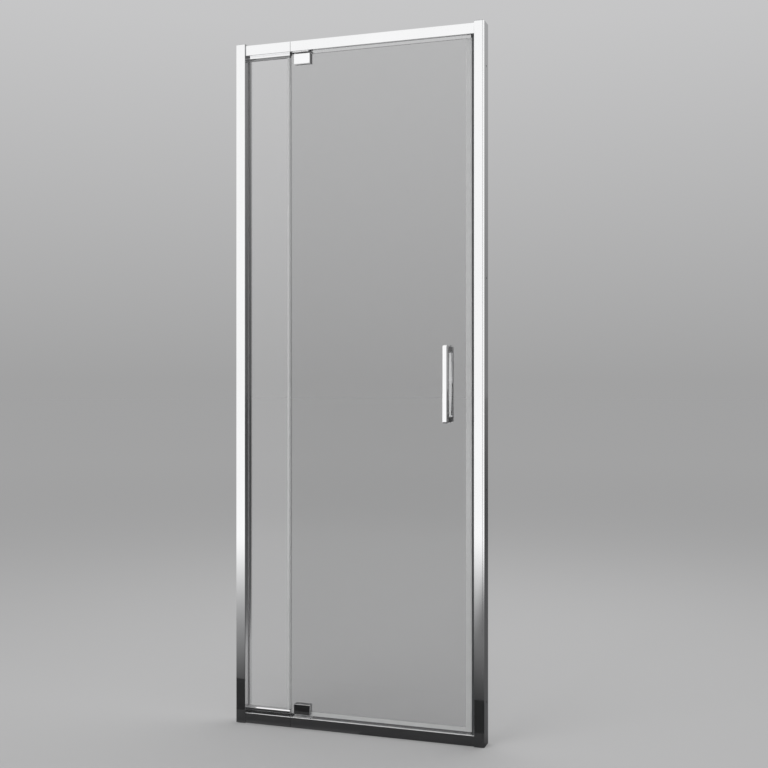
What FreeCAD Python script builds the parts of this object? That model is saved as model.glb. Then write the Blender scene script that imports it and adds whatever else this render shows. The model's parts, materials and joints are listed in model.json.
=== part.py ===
import FreeCAD, Part
import math
import os
import re
import Sketcher
from FreeCAD import Placement, Rotation, Vector

# Pivot shower door for a niche: a framed fixed pane on the left, and a door on the right that
# turns outwards on two pins. X is the width, the front is towards -Y, the glass lies on Y = 0,
# and the floor is Z = 0.

doc = FreeCAD.newDocument("PivotShowerDoor")
sheet = doc.addObject("Spreadsheet::Sheet", "Sizes")

# places closer than this are one place, and directions closer than the second one direction
near = 1e-3
parallel = 1e-6
# screws, studs and sleeves, and the bores that they sit in, are drawn with this many flat sides
small_sides = 8

given = {
    # the whole frame
    "frame_width": 750,
    "frame_height": 2000,
    # uprights and the channels on the walls
    "wall_reveal": 5,
    "wall_thick": 1.6,
    "wall_flange": 21.4,
    "wall_lip": 2,
    "wall_hole_radius": 2.75,
    "wall_hole_margin": 120,
    "wall_hole_count": 4,
    "slide_gap": 0.3,
    "jamb_face": 24,
    "jamb_front": 26,
    "jamb_back": 22,
    "jamb_wall": 1.4,
    "jamb_round": 1.2,
    "pane_slot_depth": 14,
    "cap_thick": 2,
    "cap_leg": 3.5,
    "cap_leg_gap": 0.3,
    "lock_margin": 250,
    "lock_count": 3,
    "lock_travel": 5,
    "lock_from_wall": 16,
    # rails
    "rail_height": 30,
    "rail_half_depth": 22,
    "rail_wall": 1.6,
    "rail_round": 1.5,
    "head_drop": 5,
    "slot_mouth": 7,
    "slot_half": 9,
    "slot_depth": 12.4,
    "port_radius": 3.6,
    "port_offset": 16,
    "port_bite": 0.6,
    "fixed_module": 171.4,
    "joint_gap": 1,
    "joiner_length": 80,
    "joiner_half": 11,
    "joiner_height": 12,
    "joiner_wall": 2,
    "joiner_screw_reach": 22,
    # glass and glazing
    "glass_thick": 6,
    "glass_round": 2,
    "glass_arris": 0.5,
    "gasket_thick": 1.6,
    "gasket_root": 6,
    "gasket_show": 2.5,
    "jamb_gasket_show": 1.5,
    "pane_in_jamb": 12,
    "pane_in_rail": 6.4,
    "pane_setback": 10.4,
    "bead_half": 8.5,
    "bead_face": 6.5,
    "bead_slope": 3,
    "bead_root": 10,
    "bead_wall": 1.6,
    "bead_fit": 0.2,
    "bead_lift": 5.5,
    "setting_length": 24,
    "setting_margin": 25,
    # pivot
    "pivot_offset": 32.1,
    "door_tail": 37.5,
    "pin_radius": 3,
    "pin_fit": 0.05,
    "pin_depth": 18,
    "pin_reach": 8.2,
    "pin_point": 0.8,
    "pin_end_gap": 0.2,
    "bush_wall": 2,
    "bush_floor": 1,
    "bush_flange": 1.8,
    "flange_thick": 1,
    "press_gap": 0.03,
    "washer_gap": 0.3,
    "washer_bore_gap": 0.1,
    "plate_thick": 2.5,
    "plate_length": 50,
    "plate_half_depth": 20,
    "plate_round": 2,
    "block_length": 48,
    "block_height": 8,
    "plate_screw_pitch": 36,
    # clamp hinges
    "hinge_width": 50,
    "hinge_height": 30,
    "hinge_half_depth": 12,
    "hinge_round": 0.8,
    "hinge_pad": 1.2,
    "hinge_pad_inset": 0.5,
    "upper_hinge_gap": 5,
    "lower_hinge_gap": 6,
    "boss_half": 8,
    "boss_height": 20,
    "notch_gap": 2,
    "notch_round": 4,
    "clamp_pitch": 34,
    "clamp_drop": 15,
    "clamp_thread_depth": 6,
    "sleeve_wall": 1.3,
    "grub_drop": 9,
    # door glass
    "closing_gap": 20,
    "door_top_gap": 5.5,
    "door_foot_gap": 8.5,
    # handles
    "handle_length": 218,
    "handle_width": 17.6,
    "handle_reach": 31,
    "handle_post": 18,
    "handle_height": 998.5,
    "handle_inset": 60.3,
    "grip_end_thick": 14,
    "grip_arch": 4,
    "handle_corner": 5.5,
    "handle_edge": 5,
    "finger_round": 4,
    "finger_edge": 0.8,
    "handle_foot_thick": 1,
    "handle_foot_radius": 8,
    "stud_radius": 3,
    "stud_depth": 12,
    "stud_sleeve_wall": 2.7,
    # seals and magnets
    "seal_gap": 0.1,
    "seal_wall": 1.2,
    "seal_leg": 8,
    "sweep_leg": 7,
    "sweep_drop": 4.5,
    "magnet_box": 7.7,
    "magnet_half": 3.4,
    "magnet_thick": 5.2,
    "magnet_gap": 0.2,
    "closed_gap": 0.4,
    "strike_root": 12,
    "strike_cover": 2,
    "strike_cover_thick": 1.2,
    "strike_fin": 5.4,
    "strike_fin_gap": 0.3,
    "edge_seal_wall": 0.8,
    "edge_seal_leg": 6.4,
    "edge_seal_fin": 2.5,
    "edge_seal_fin_half": 0.5,
    "trim_half": 8.6,
    "trim_lip": 1.2,
    "trim_fit": 0.2,
    # screws
    "pan_radius": 3.6,
    "pan_height": 1.8,
    "tapping_radius": 1.8,
    "tapping_length": 20,
    "tapping_gap": 0.05,
    "screw_radius": 2,
    "screw_gap": 0.1,
    "short_screw": 7,
    "sunk_radius": 4,
    "sunk_depth": 2,
    "clamp_screw_radius": 2.5,
    "clamp_head_radius": 4.6,
    "clamp_head_depth": 2.1,
    "grub_radius": 2,
    "grub_sink": 0.5,
}

derived = {
    "half_width": "frame_width / 2",
    "jamb_outer": "half_width - wall_reveal",
    "jamb_inner": "jamb_outer - jamb_face",
    "post_height": "frame_height - cap_thick",
    "profile_front": "jamb_front - jamb_wall - slide_gap",
    "profile_back": "jamb_back - jamb_wall - slide_gap",
    "lock_x": "half_width - lock_from_wall",
    "lock_pitch_run": "post_height - 2 * lock_margin",
    "head_face": "frame_height - head_drop - rail_height",
    "sill_face": "rail_height",
    "port_height": "rail_height - rail_wall - port_radius + port_bite",
    "port_bore": "tapping_radius + tapping_gap",
    "split_x": "fixed_module - half_width",
    "short_end": "split_x - joint_gap / 2",
    "long_start": "split_x + joint_gap / 2",
    "ceiling": "slot_depth + rail_wall",
    "glass_half": "glass_thick / 2",
    "grip_half": "glass_half + gasket_thick",
    "bead_foot": "bead_face + bead_slope",
    "root_half": "slot_mouth - bead_fit",
    "pane_left": "jamb_inner + pane_in_jamb",
    "pane_right": "split_x - pane_setback",
    "edge_web": "seal_gap + edge_seal_wall",
    "fin_end": "pane_right + edge_web + edge_seal_fin",
    "pane_top": "head_face + pane_in_rail",
    "pane_foot": "sill_face + bead_lift - pane_in_rail",
    "gasket_top": "head_face - bead_foot - gasket_show",
    "gasket_foot": "sill_face + bead_lift + bead_foot + gasket_show",
    "setting_height": "bead_root - bead_wall - pane_in_rail",
    "pivot_x": "split_x + pivot_offset",
    "pin_bore": "pin_radius + pin_fit",
    "bush_radius": "pin_bore + bush_wall",
    "bush_bore_top": "pin_reach + pin_end_gap",
    "bush_top": "bush_bore_top + bush_floor",
    "clamp_half": "glass_half + hinge_pad",
    "notch_half": "boss_half + notch_gap",
    "notch_depth": "boss_height + notch_gap",
    "sleeve_bore": "clamp_screw_radius + screw_gap",
    "sleeve_radius": "sleeve_bore + sleeve_wall",
    "upper_hinge_z": "head_face - upper_hinge_gap",
    "lower_hinge_z": "sill_face + lower_hinge_gap",
    "door_left": "pivot_x - door_tail",
    "door_right": "jamb_inner - closing_gap",
    "door_top": "head_face - door_top_gap",
    "door_foot": "sill_face + door_foot_gap",
    "handle_x": "door_right - handle_inset",
    "handle_foot": "glass_half + handle_foot_thick",
    "handle_front": "glass_half + handle_reach",
    "finger_half": "handle_length / 2 - handle_post",
    "finger_depth": "handle_front - grip_end_thick",
    "arch_radius": "(finger_half * finger_half + grip_arch * grip_arch) / (2 * grip_arch)",
    "stud_pitch": "handle_length - handle_post",
    "stud_end": "handle_foot + stud_depth",
    "stud_bore": "stud_radius + screw_gap",
    "stud_sleeve": "stud_bore + stud_sleeve_wall",
    "grub_y": "handle_foot + stud_depth / 2",
    "seal_inner": "glass_half + seal_gap",
    "seal_outer": "seal_inner + seal_wall",
    "seal_left": "door_right - seal_leg",
    "seal_web": "door_right + seal_gap",
    "box_left": "seal_web + seal_wall",
    "box_right": "box_left + magnet_box",
    "box_half": "magnet_half + magnet_gap + box_wall",
    "box_wall": "(magnet_box - magnet_thick - 2 * magnet_gap) / 2",
    "strike_left": "box_right + closed_gap",
    "strike_back": "box_half + strike_fin_gap + seal_wall",
    "sweep_left": "pivot_x + hinge_width / 2 + seal_wall",
    "sweep_right": "seal_left - seal_gap",
    "trim_left": "pivot_x + plate_length / 2 + trim_fit",
}

nodes = []


def sized(text):
    # an expression in the words above, with every word traced to a cell of the sheet
    def traced(found):
        word = found.group(0)
        if word in derived:
            return "(" + sized(derived[word]) + ")"
        if word in given:
            return "Sizes." + word
        return word
    return re.sub(r"[a-z_]+", traced, text)


def bind(made, name, text):
    made.setExpression(name, sized(text))


def number(text):
    value = sheet.evalExpression(sized(text))
    return float(getattr(value, "Value", value))


def fill_sheet():
    for row, (word, size) in enumerate(given.items(), start=1):
        sheet.set("A%d" % row, word)
        sheet.set("B%d" % row, str(size))
        sheet.setAlias("B%d" % row, word)
    doc.recompute()


def put(made, at, turn=None):
    made.Placement = Placement(Vector(), turn or Rotation())
    for axis, text in zip("xyz", at):
        if text != "0":
            bind(made, "Placement.Base." + axis, text)


def new_body(name, at=("0", "0", "0"), turn=None):
    made = doc.addObject("PartDesign::Body", name)
    made.Label = name
    made.AllowCompound = True
    put(made, at, turn)
    nodes.append(made)
    return made


def keep(made, name):
    made.Label = name
    nodes.append(made)
    return made


# ---- sketches: every corner and centre is pinned to its own sizes

def new_sketch(body, plane, level="0"):
    sketch = body.newObject("Sketcher::SketchObject", body.Name + "_sketch")
    support = next(part for part in body.Origin.OriginFeatures if part.Role == plane)
    sketch.AttachmentSupport = [(support, "")]
    sketch.MapMode = "FlatFace"
    if level != "0":
        bind(sketch, "AttachmentOffset.Base.z", level)
    return sketch


def pin(sketch, piece, end, x, y):
    for kind, text, axis in (("DistanceX", x, -2), ("DistanceY", y, -1)):
        if text == "0":
            sketch.addConstraint(Sketcher.Constraint("PointOnObject", piece, end, axis))
            continue
        limit = Sketcher.Constraint(kind, -1, 1, piece, end, number(text))
        index = sketch.addConstraint(limit)
        bind(sketch, "Constraints[%d]" % index, text)


def outline(sketch, corners):
    first = sketch.GeometryCount
    spots = [Vector(number(x), number(y), 0) for x, y in corners]
    count = len(spots)
    for index, spot in enumerate(spots):
        sketch.addGeometry(Part.LineSegment(spot, spots[(index + 1) % count]), False)
    for index, (x, y) in enumerate(corners):
        follower = first + (index + 1) % count
        sketch.addConstraint(Sketcher.Constraint("Coincident", first + index, 2, follower, 1))
        pin(sketch, first + index, 1, x, y)


def rectangle(sketch, left, right, low, high):
    outline(sketch, [(left, low), (right, low), (right, high), (left, high)])


def circle(sketch, x, y, radius):
    spot = Vector(number(x), number(y), 0)
    ring = sketch.addGeometry(Part.Circle(spot, Vector(0, 0, 1), number(radius)), False)
    pin(sketch, ring, 3, x, y)
    index = sketch.addConstraint(Sketcher.Constraint("Radius", ring, number(radius)))
    bind(sketch, "Constraints[%d]" % index, radius)


def small_bore(sketch, x, y, radius, reach="0"):
    # the reach draws the bore out sideways into a level slot
    corners = []
    for index in range(small_sides):
        turn = (index + 0.5) * 360 / small_sides
        way = "+" if math.cos(math.radians(turn)) > 0 else "-"
        corners.append(("%s %s %s + (%s) * cos(%g deg)" % (x, way, reach, radius, turn),
                        "%s + (%s) * sin(%g deg)" % (y, radius, turn)))
    outline(sketch, corners)


# ---- features

def pad(body, sketch, length, flip=False, both_ways=False):
    made = body.newObject("PartDesign::Pad", body.Name + "_pad")
    made.Profile = sketch
    made.Reversed = flip
    made.SideType = "Symmetric" if both_ways else "One side"
    bind(made, "Length", length)
    doc.recompute()
    return made


def pocket(body, sketch, length=None, flip=False, both_ways=False):
    before = body.Shape.Volume
    made = body.newObject("PartDesign::Pocket", body.Name + "_pocket")
    made.Profile = sketch
    made.Reversed = flip
    made.SideType = "Symmetric" if both_ways else "One side"
    if length is None:
        made.Type = "ThroughAll"
    else:
        bind(made, "Length", length)
    doc.recompute()
    if not body.Shape.Volume < before:
        raise ValueError(body.Label + ": a cut takes nothing away")
    return made


def revolve(body, sketch):
    made = body.newObject("PartDesign::Revolution", body.Name + "_turned")
    made.Profile = sketch
    made.ReferenceAxis = (sketch, ["V_Axis"])
    made.Angle = 360
    doc.recompute()
    return made


def repeat_up(body, feature, run, count):
    made = body.newObject("PartDesign::LinearPattern", body.Name + "_row")
    made.Originals = [feature]
    upright = next(part for part in body.Origin.OriginFeatures if part.Role == "Z_Axis")
    made.Direction = (upright, [""])
    bind(made, "Length", run)
    bind(made, "Occurrences", count)
    body.Tip = made
    doc.recompute()


def edge_names(body, chosen):
    edges = body.Tip.Shape.Edges
    return ["Edge%d" % (index + 1) for index, edge in enumerate(edges) if chosen(edge)]


def soften(body, kind, size, chosen):
    names = edge_names(body, chosen)
    if not names:
        raise ValueError(body.Label + ": no edge to soften")
    base = body.Tip
    made = body.newObject("PartDesign::" + kind, body.Name + "_edges")
    made.Base = (base, names)
    bind(made, "Radius" if kind == "Fillet" else "Size", size)
    doc.recompute()
    return made


def runs_along(edge, axis):
    if len(edge.Vertexes) < 2 or edge.Curve.TypeId != "Part::GeomLine":
        return False
    return abs(abs(edge.tangentAt(edge.FirstParameter)[axis]) - 1) < parallel


def lies_at(edge, **places):
    # true where the middle of the edge has the given coordinates, which are expressions
    middle = edge.BoundBox.Center
    return all(abs(getattr(middle, axis) - number(text)) < near for axis, text in places.items())


def sink(body, depth, radius, centre, mouth):
    # opens a pair of bores for sunk heads: one at the centre, one at its mirror image in X
    spot = Vector(*[number(place) for place in centre])

    def at_mouth(edge):
        middle = edge.BoundBox.Center
        away = Vector(abs(middle.x), middle.y, middle.z) - spot
        return away.Length < number(radius) and abs(getattr(away, mouth)) < near

    soften(body, "Chamfer", depth, at_mouth)


# ---- plain solids for strips and fasteners

def strip(name, x, y, z):
    made = doc.addObject("Part::Box", name)
    for span, side, axis in ((x, "Length", "x"), (y, "Width", "y"), (z, "Height", "z")):
        bind(made, side, "%s - (%s)" % (span[1], span[0]))
        bind(made, "Placement.Base." + axis, span[0])
    return made


def group(name, parts):
    made = doc.addObject("Part::Compound", name)
    made.Links = parts
    return keep(made, name)


def facing(toward):
    # turned by half a side as well, so that the flats of a rod lie along those of its bore
    up = Vector(0, 0, 1)
    return Rotation(up, toward) * Rotation(up, 180 / small_sides)


def rod(name, radius, length, at, toward):
    made = doc.addObject("Part::Prism", name)
    made.Polygon = small_sides
    bind(made, "Circumradius", radius)
    bind(made, "Height", length)
    put(made, at, facing(toward))
    return made


def sleeve(name, outer, inner, length, at, toward):
    made = doc.addObject("Part::Cut", name)
    made.Base = rod(name + "_body", outer, length, at, toward)
    made.Tool = rod(name + "_bore", inner, length, at, toward)
    return made


def pan_screw(name, radius, length, at, toward):
    # the head stands on the seat and the shank goes the other way
    made = doc.addObject("Part::Fuse", name)
    made.Base = rod(name + "_head", "pan_radius", "pan_height", at, toward * -1)
    made.Tool = rod(name + "_shank", radius, length, at, toward)
    return made


def sunk_screw(name, radius, length, head_radius, head_depth, at, toward):
    # the head narrows from the face that it starts from, where it is flush, to the shank
    rims = []
    for word, size, depth in (("rim", head_radius, "0"), ("neck", radius, head_depth)):
        rim = doc.addObject("Part::RegularPolygon", name + "_" + word)
        rim.Polygon = small_sides
        bind(rim, "Circumradius", size)
        steps = zip(at, (toward.x, toward.y, toward.z))
        put(rim, ["%s + %d * %s" % (start, step, depth) for start, step in steps], facing(toward))
        rims.append(rim)
    head = doc.addObject("Part::Loft", name + "_head")
    head.Sections = rims
    head.Solid = True
    head.Ruled = True
    made = doc.addObject("Part::Fuse", name)
    made.Base = head
    made.Tool = rod(name + "_shank", radius, length, at, toward)
    return made


# ---- channels on the walls: a web with two flanges, whose lips turn inwards

def wall_profile(side, word):
    def across(text):
        return "%s * (%s)" % (side, text)

    made = new_body("wall_profile_" + word)
    tip = "half_width - wall_thick - wall_flange"
    section = new_sketch(made, "XY_Plane")
    outline(section, [
        (across("half_width"), "-profile_front"),
        (across(tip), "-profile_front"),
        (across(tip), "-profile_front + wall_thick + wall_lip"),
        (across(tip + " + wall_thick"), "-profile_front + wall_thick + wall_lip"),
        (across(tip + " + wall_thick"), "-profile_front + wall_thick"),
        (across("half_width - wall_thick"), "-profile_front + wall_thick"),
        (across("half_width - wall_thick"), "profile_back - wall_thick"),
        (across(tip + " + wall_thick"), "profile_back - wall_thick"),
        (across(tip + " + wall_thick"), "profile_back - wall_thick - wall_lip"),
        (across(tip), "profile_back - wall_thick - wall_lip"),
        (across(tip), "profile_back"),
        (across("half_width"), "profile_back"),
    ])
    pad(made, section, "post_height")

    wall_hole = new_sketch(made, "YZ_Plane", across("half_width"))
    circle(wall_hole, "0", "wall_hole_margin", "wall_hole_radius")
    cut = pocket(made, wall_hole, "3 * wall_thick", both_ways=True)
    repeat_up(made, cut, "post_height - 2 * wall_hole_margin", "wall_hole_count")

    lock_hole = new_sketch(made, "XZ_Plane", "-profile_back")
    small_bore(lock_hole, across("lock_x"), "lock_margin", "screw_radius + screw_gap")
    cut = pocket(made, lock_hole, "3 * wall_thick", both_ways=True)
    repeat_up(made, cut, "lock_pitch_run", "lock_count")


# ---- uprights: open towards the wall, with a slot for the pane or the closing strip

def jamb(side, word):
    def across(text):
        return "%s * (%s)" % (side, text)

    made = new_body("jamb_" + word)
    slot_end = "jamb_inner + pane_slot_depth"
    section = new_sketch(made, "XY_Plane")
    outline(section, [
        (across("jamb_outer"), "-jamb_front"),
        (across("jamb_inner"), "-jamb_front"),
        (across("jamb_inner"), "-grip_half"),
        (across(slot_end), "-grip_half"),
        (across(slot_end), "grip_half"),
        (across("jamb_inner"), "grip_half"),
        (across("jamb_inner"), "jamb_back"),
        (across("jamb_outer"), "jamb_back"),
        (across("jamb_outer"), "jamb_back - jamb_wall"),
        (across("jamb_inner + jamb_wall"), "jamb_back - jamb_wall"),
        (across("jamb_inner + jamb_wall"), "grip_half + jamb_wall"),
        (across(slot_end + " + jamb_wall"), "grip_half + jamb_wall"),
        (across(slot_end + " + jamb_wall"), "-grip_half - jamb_wall"),
        (across("jamb_inner + jamb_wall"), "-grip_half - jamb_wall"),
        (across("jamb_inner + jamb_wall"), "-jamb_front + jamb_wall"),
        (across("jamb_outer"), "-jamb_front + jamb_wall"),
    ])
    pad(made, section, "post_height")
    soften(made, "Fillet", "jamb_round", lambda edge: runs_along(edge, 2) and (
        lies_at(edge, x=across("jamb_inner"), y="-jamb_front")
        or lies_at(edge, x=across("jamb_inner"), y="jamb_back")))

    rail_holes = new_sketch(made, "YZ_Plane", across("jamb_inner"))
    for depth in ("-port_offset", "port_offset"):
        for height in ("sill_face - port_height", "head_face + port_height"):
            small_bore(rail_holes, depth, height, "screw_radius + screw_gap")
    pocket(made, rail_holes, "3 * jamb_wall", both_ways=True)

    # slotted holes let the upright slide on the wall channel before it is locked
    lock_slot = new_sketch(made, "XZ_Plane", "-jamb_back")
    small_bore(lock_slot, across("lock_x"), "lock_margin", "screw_radius + slide_gap",
               "lock_travel")
    cut = pocket(made, lock_slot, "3 * jamb_wall", both_ways=True)
    repeat_up(made, cut, "lock_pitch_run", "lock_count")


def jamb_cap(side, word):
    def across(text):
        return "%s * (%s)" % (side, text)

    made = new_body("jamb_cap_" + word, at=("0", "0", "post_height"))
    lid = new_sketch(made, "XY_Plane")
    rectangle(lid, across("jamb_inner"), across("jamb_outer"), "-jamb_front", "jamb_back")
    pad(made, lid, "cap_thick")
    soften(made, "Fillet", "jamb_round", lambda edge: runs_along(edge, 2) and (
        lies_at(edge, x=across("jamb_inner"))))

    # two legs stand in the upright, clear of the wall channel's lips and the pane slot
    legs = new_sketch(made, "XY_Plane")
    inner = across("jamb_inner + jamb_wall + cap_leg_gap")
    outer = across("jamb_outer - cap_leg_gap")
    slot_side = "grip_half + jamb_wall + cap_leg_gap"
    channel = "wall_thick + wall_lip + cap_leg_gap"
    rectangle(legs, inner, outer, "-profile_front + " + channel, "-(%s)" % slot_side)
    rectangle(legs, inner, outer, slot_side, "profile_back - (%s)" % channel)
    pad(made, legs, "cap_leg", flip=True)


# ---- rails: one box extrusion with a T slot towards the opening and two screw ports

def rail(name, left, right, way, level, turn):
    made = new_body(name, at=(left, "0", level), turn=turn)
    section = new_sketch(made, "YZ_Plane")
    outline(section, [
        ("-rail_half_depth", "0"),
        ("-slot_mouth", "0"),
        ("-slot_mouth", "rail_wall"),
        ("-slot_half", "rail_wall"),
        ("-slot_half", "slot_depth"),
        ("slot_half", "slot_depth"),
        ("slot_half", "rail_wall"),
        ("slot_mouth", "rail_wall"),
        ("slot_mouth", "0"),
        ("rail_half_depth", "0"),
        ("rail_half_depth", "rail_height"),
        ("-rail_half_depth", "rail_height"),
    ])
    outline(section, [
        ("-rail_half_depth + rail_wall", "rail_wall"),
        ("-slot_half - rail_wall", "rail_wall"),
        ("-slot_half - rail_wall", "ceiling"),
        ("slot_half + rail_wall", "ceiling"),
        ("slot_half + rail_wall", "rail_wall"),
        ("rail_half_depth - rail_wall", "rail_wall"),
        ("rail_half_depth - rail_wall", "rail_height - rail_wall"),
        ("-rail_half_depth + rail_wall", "rail_height - rail_wall"),
    ])
    length = "(%s) - (%s)" % (right, left)
    pad(made, section, length)
    soften(made, "Fillet", "rail_round", lambda edge: runs_along(edge, 0) and (
        abs(abs(edge.BoundBox.Center.y) - number("rail_half_depth")) < near))

    ports = new_sketch(made, "YZ_Plane")
    for depth in ("-port_offset", "port_offset"):
        small_bore(ports, depth, "port_height", "port_radius")
        small_bore(ports, depth, "port_height", "port_bore")
    pad(made, ports, length)

    # a hole for the screw that holds the bar across the split
    hole = new_sketch(made, "XY_Plane", "slot_depth")
    small_bore(hole, "split_x %s joiner_screw_reach - (%s)" % (way, left), "0",
               "screw_radius + screw_gap")
    pocket(made, hole, "3 * rail_wall", both_ways=True)


def rail_joiner(name, level, turn):
    made = new_body(name, at=("split_x", "0", level), turn=turn)
    section = new_sketch(made, "YZ_Plane", "-joiner_length / 2")
    rectangle(section, "-joiner_half", "joiner_half", "ceiling", "ceiling + joiner_height")
    rectangle(section, "-joiner_half + joiner_wall", "joiner_half - joiner_wall",
              "ceiling + joiner_wall", "ceiling + joiner_height - joiner_wall")
    pad(made, section, "joiner_length")
    holes = new_sketch(made, "XY_Plane", "ceiling")
    for reach in ("-joiner_screw_reach", "joiner_screw_reach"):
        small_bore(holes, reach, "0", "screw_radius + screw_gap")
    pocket(made, holes, "3 * joiner_wall", both_ways=True)


# ---- glazing of the fixed pane

def glazing_channel(name, level, turn):
    # a root in the rail slot and a nose on both sides of the pane, sloped at its free edge
    made = new_body(name, at=("-jamb_inner", "0", level), turn=turn)
    section = new_sketch(made, "YZ_Plane")
    half = [
        ("root_half", "bead_root"),
        ("root_half", "0"),
        ("bead_half", "0"),
        ("bead_half", "-bead_face"),
        ("bead_half - bead_slope", "-bead_foot"),
        ("grip_half", "-bead_foot"),
        ("grip_half", "bead_root - bead_wall"),
    ]
    mirrored = [("-(%s)" % x, y) for x, y in reversed(half)]
    outline(section, half + mirrored)
    pad(made, section, "fin_end + jamb_inner")


def pane(name, left, right, low, high):
    made = new_body(name)
    sheet_sketch = new_sketch(made, "XZ_Plane", "-glass_half")
    rectangle(sheet_sketch, left, right, low, high)
    pad(made, sheet_sketch, "glass_thick")
    soften(made, "Fillet", "glass_round", lambda edge: runs_along(edge, 1))
    soften(made, "Chamfer", "glass_arris", lambda edge: not runs_along(edge, 1))
    return made


def gasket_pair(name, x, z):
    front = strip(name + "_front", x, ("-grip_half", "-glass_half"), z)
    back = strip(name + "_back", x, ("glass_half", "grip_half"), z)
    group(name, [front, back])


def fixed_panel():
    pane("fixed_glass", "-(pane_left)", "pane_right", "pane_foot", "pane_top")
    gasket_pair("jamb_gaskets",
                ("-(pane_left)", "-jamb_inner + jamb_gasket_show"), ("gasket_foot", "gasket_top"))
    gasket_run = ("-(pane_left)", "pane_right - seal_gap")
    gasket_pair("top_gaskets", gasket_run, ("gasket_top", "head_face + gasket_root"))
    gasket_pair("bottom_gaskets", gasket_run,
                ("sill_face + bead_lift - gasket_root", "gasket_foot"))

    under = ("pane_foot - setting_height", "pane_foot")
    starts = ("-jamb_inner + setting_margin", "pane_right - setting_margin - setting_length")
    group("setting_blocks", [
        strip("setting_block_%d" % index, (start, start + " + setting_length"),
              ("-glass_half", "glass_half"), under)
        for index, start in enumerate(starts, start=1)])


def fixed_glass_seal():
    # a clear channel over the free edge of the pane, with a short fin towards the door
    made = new_body("fixed_glass_seal", at=("pane_right", "0", "gasket_foot"))
    outer = "seal_inner + edge_seal_wall"
    half = [
        ("edge_web + edge_seal_fin", "edge_seal_fin_half"),
        ("edge_web", "edge_seal_fin_half"),
        ("edge_web", outer),
        ("-edge_seal_leg", outer),
        ("-edge_seal_leg", "seal_inner"),
        ("seal_gap", "seal_inner"),
    ]
    mirrored = [(x, "-(%s)" % y) for x, y in reversed(half)]
    section = new_sketch(made, "XY_Plane")
    outline(section, half + mirrored)
    pad(made, section, "gasket_top - gasket_foot")


# ---- pivot on a rail: plate, T block in the slot, cup bush and screws

def pivot_set(word, level, turn, upwards):
    plate = new_body(word + "_pivot_plate", at=("pivot_x", "0", level), turn=turn)
    face = new_sketch(plate, "XY_Plane", "-plate_thick")
    rectangle(face, "-plate_length / 2", "plate_length / 2", "-plate_half_depth", "plate_half_depth")
    pad(plate, face, "plate_thick")
    soften(plate, "Fillet", "plate_round", lambda edge: runs_along(edge, 2))
    bore = new_sketch(plate, "XY_Plane")
    circle(bore, "0", "0", "bush_radius + press_gap")
    for x in ("-plate_screw_pitch / 2", "plate_screw_pitch / 2"):
        small_bore(bore, x, "0", "screw_radius + screw_gap")
    pocket(plate, bore, both_ways=True)
    sink(plate, "sunk_depth - screw_gap", "sunk_radius",
         ("plate_screw_pitch / 2", "0", "-plate_thick"), "z")

    block = new_body(word + "_pivot_block", at=("pivot_x", "0", level), turn=turn)
    section = new_sketch(block, "YZ_Plane")
    outline(section, [
        ("-root_half", "0"),
        ("root_half", "0"),
        ("root_half", "rail_wall"),
        ("slot_half - bead_fit", "rail_wall"),
        ("slot_half - bead_fit", "rail_wall + block_height"),
        ("-slot_half + bead_fit", "rail_wall + block_height"),
        ("-slot_half + bead_fit", "rail_wall"),
        ("-root_half", "rail_wall"),
    ])
    pad(block, section, "block_length", both_ways=True)
    bore = new_sketch(block, "XY_Plane")
    circle(bore, "0", "0", "bush_radius + press_gap")
    for x in ("-plate_screw_pitch / 2", "plate_screw_pitch / 2"):
        small_bore(bore, x, "0", "screw_radius + screw_gap")
    pocket(block, bore, both_ways=True)

    bush = new_body(word + "_pivot_bush", at=("pivot_x", "0", level), turn=turn)
    section = new_sketch(bush, "XZ_Plane")
    outline(section, [
        ("pin_bore", "-plate_thick - flange_thick"),
        ("bush_radius + bush_flange", "-plate_thick - flange_thick"),
        ("bush_radius + bush_flange", "-plate_thick"),
        ("bush_radius", "-plate_thick"),
        ("bush_radius", "bush_top"),
        ("0", "bush_top"),
        ("0", "bush_bore_top"),
        ("pin_bore", "bush_bore_top"),
    ])
    revolve(bush, section)

    face_z = "%s - %s * plate_thick" % (level, upwards)
    return [
        sunk_screw("%s_plate_screw_%d" % (word, index), "screw_radius", "short_screw",
                   "sunk_radius", "sunk_depth",
                   ("pivot_x + %s * plate_screw_pitch / 2" % way, "0", face_z),
                   Vector(0, 0, float(upwards)))
        for index, way in ((1, "-1"), (2, "1"))]


def thrust_washer():
    made = new_body("thrust_washer", at=("pivot_x", "0", "sill_face + plate_thick + flange_thick"))
    ring = new_sketch(made, "XY_Plane")
    circle(ring, "0", "0", "bush_radius + bush_flange")
    circle(ring, "0", "0", "pin_radius + washer_bore_gap")
    pad(made, ring, "lower_hinge_gap - plate_thick - flange_thick - washer_gap")


def slot_trim(name, level, turn):
    # a T strip that closes the rail slot over or under the door
    made = new_body(name, at=("trim_left", "0", level), turn=turn)
    section = new_sketch(made, "YZ_Plane")
    outline(section, [
        ("-root_half", "0"),
        ("root_half", "0"),
        ("root_half", "rail_wall"),
        ("trim_half", "rail_wall"),
        ("trim_half", "rail_wall + trim_lip"),
        ("-trim_half", "rail_wall + trim_lip"),
        ("-trim_half", "rail_wall"),
        ("-root_half", "rail_wall"),
    ])
    pad(made, section, "jamb_inner - (trim_left)")


# ---- closing strip on the right upright

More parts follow.
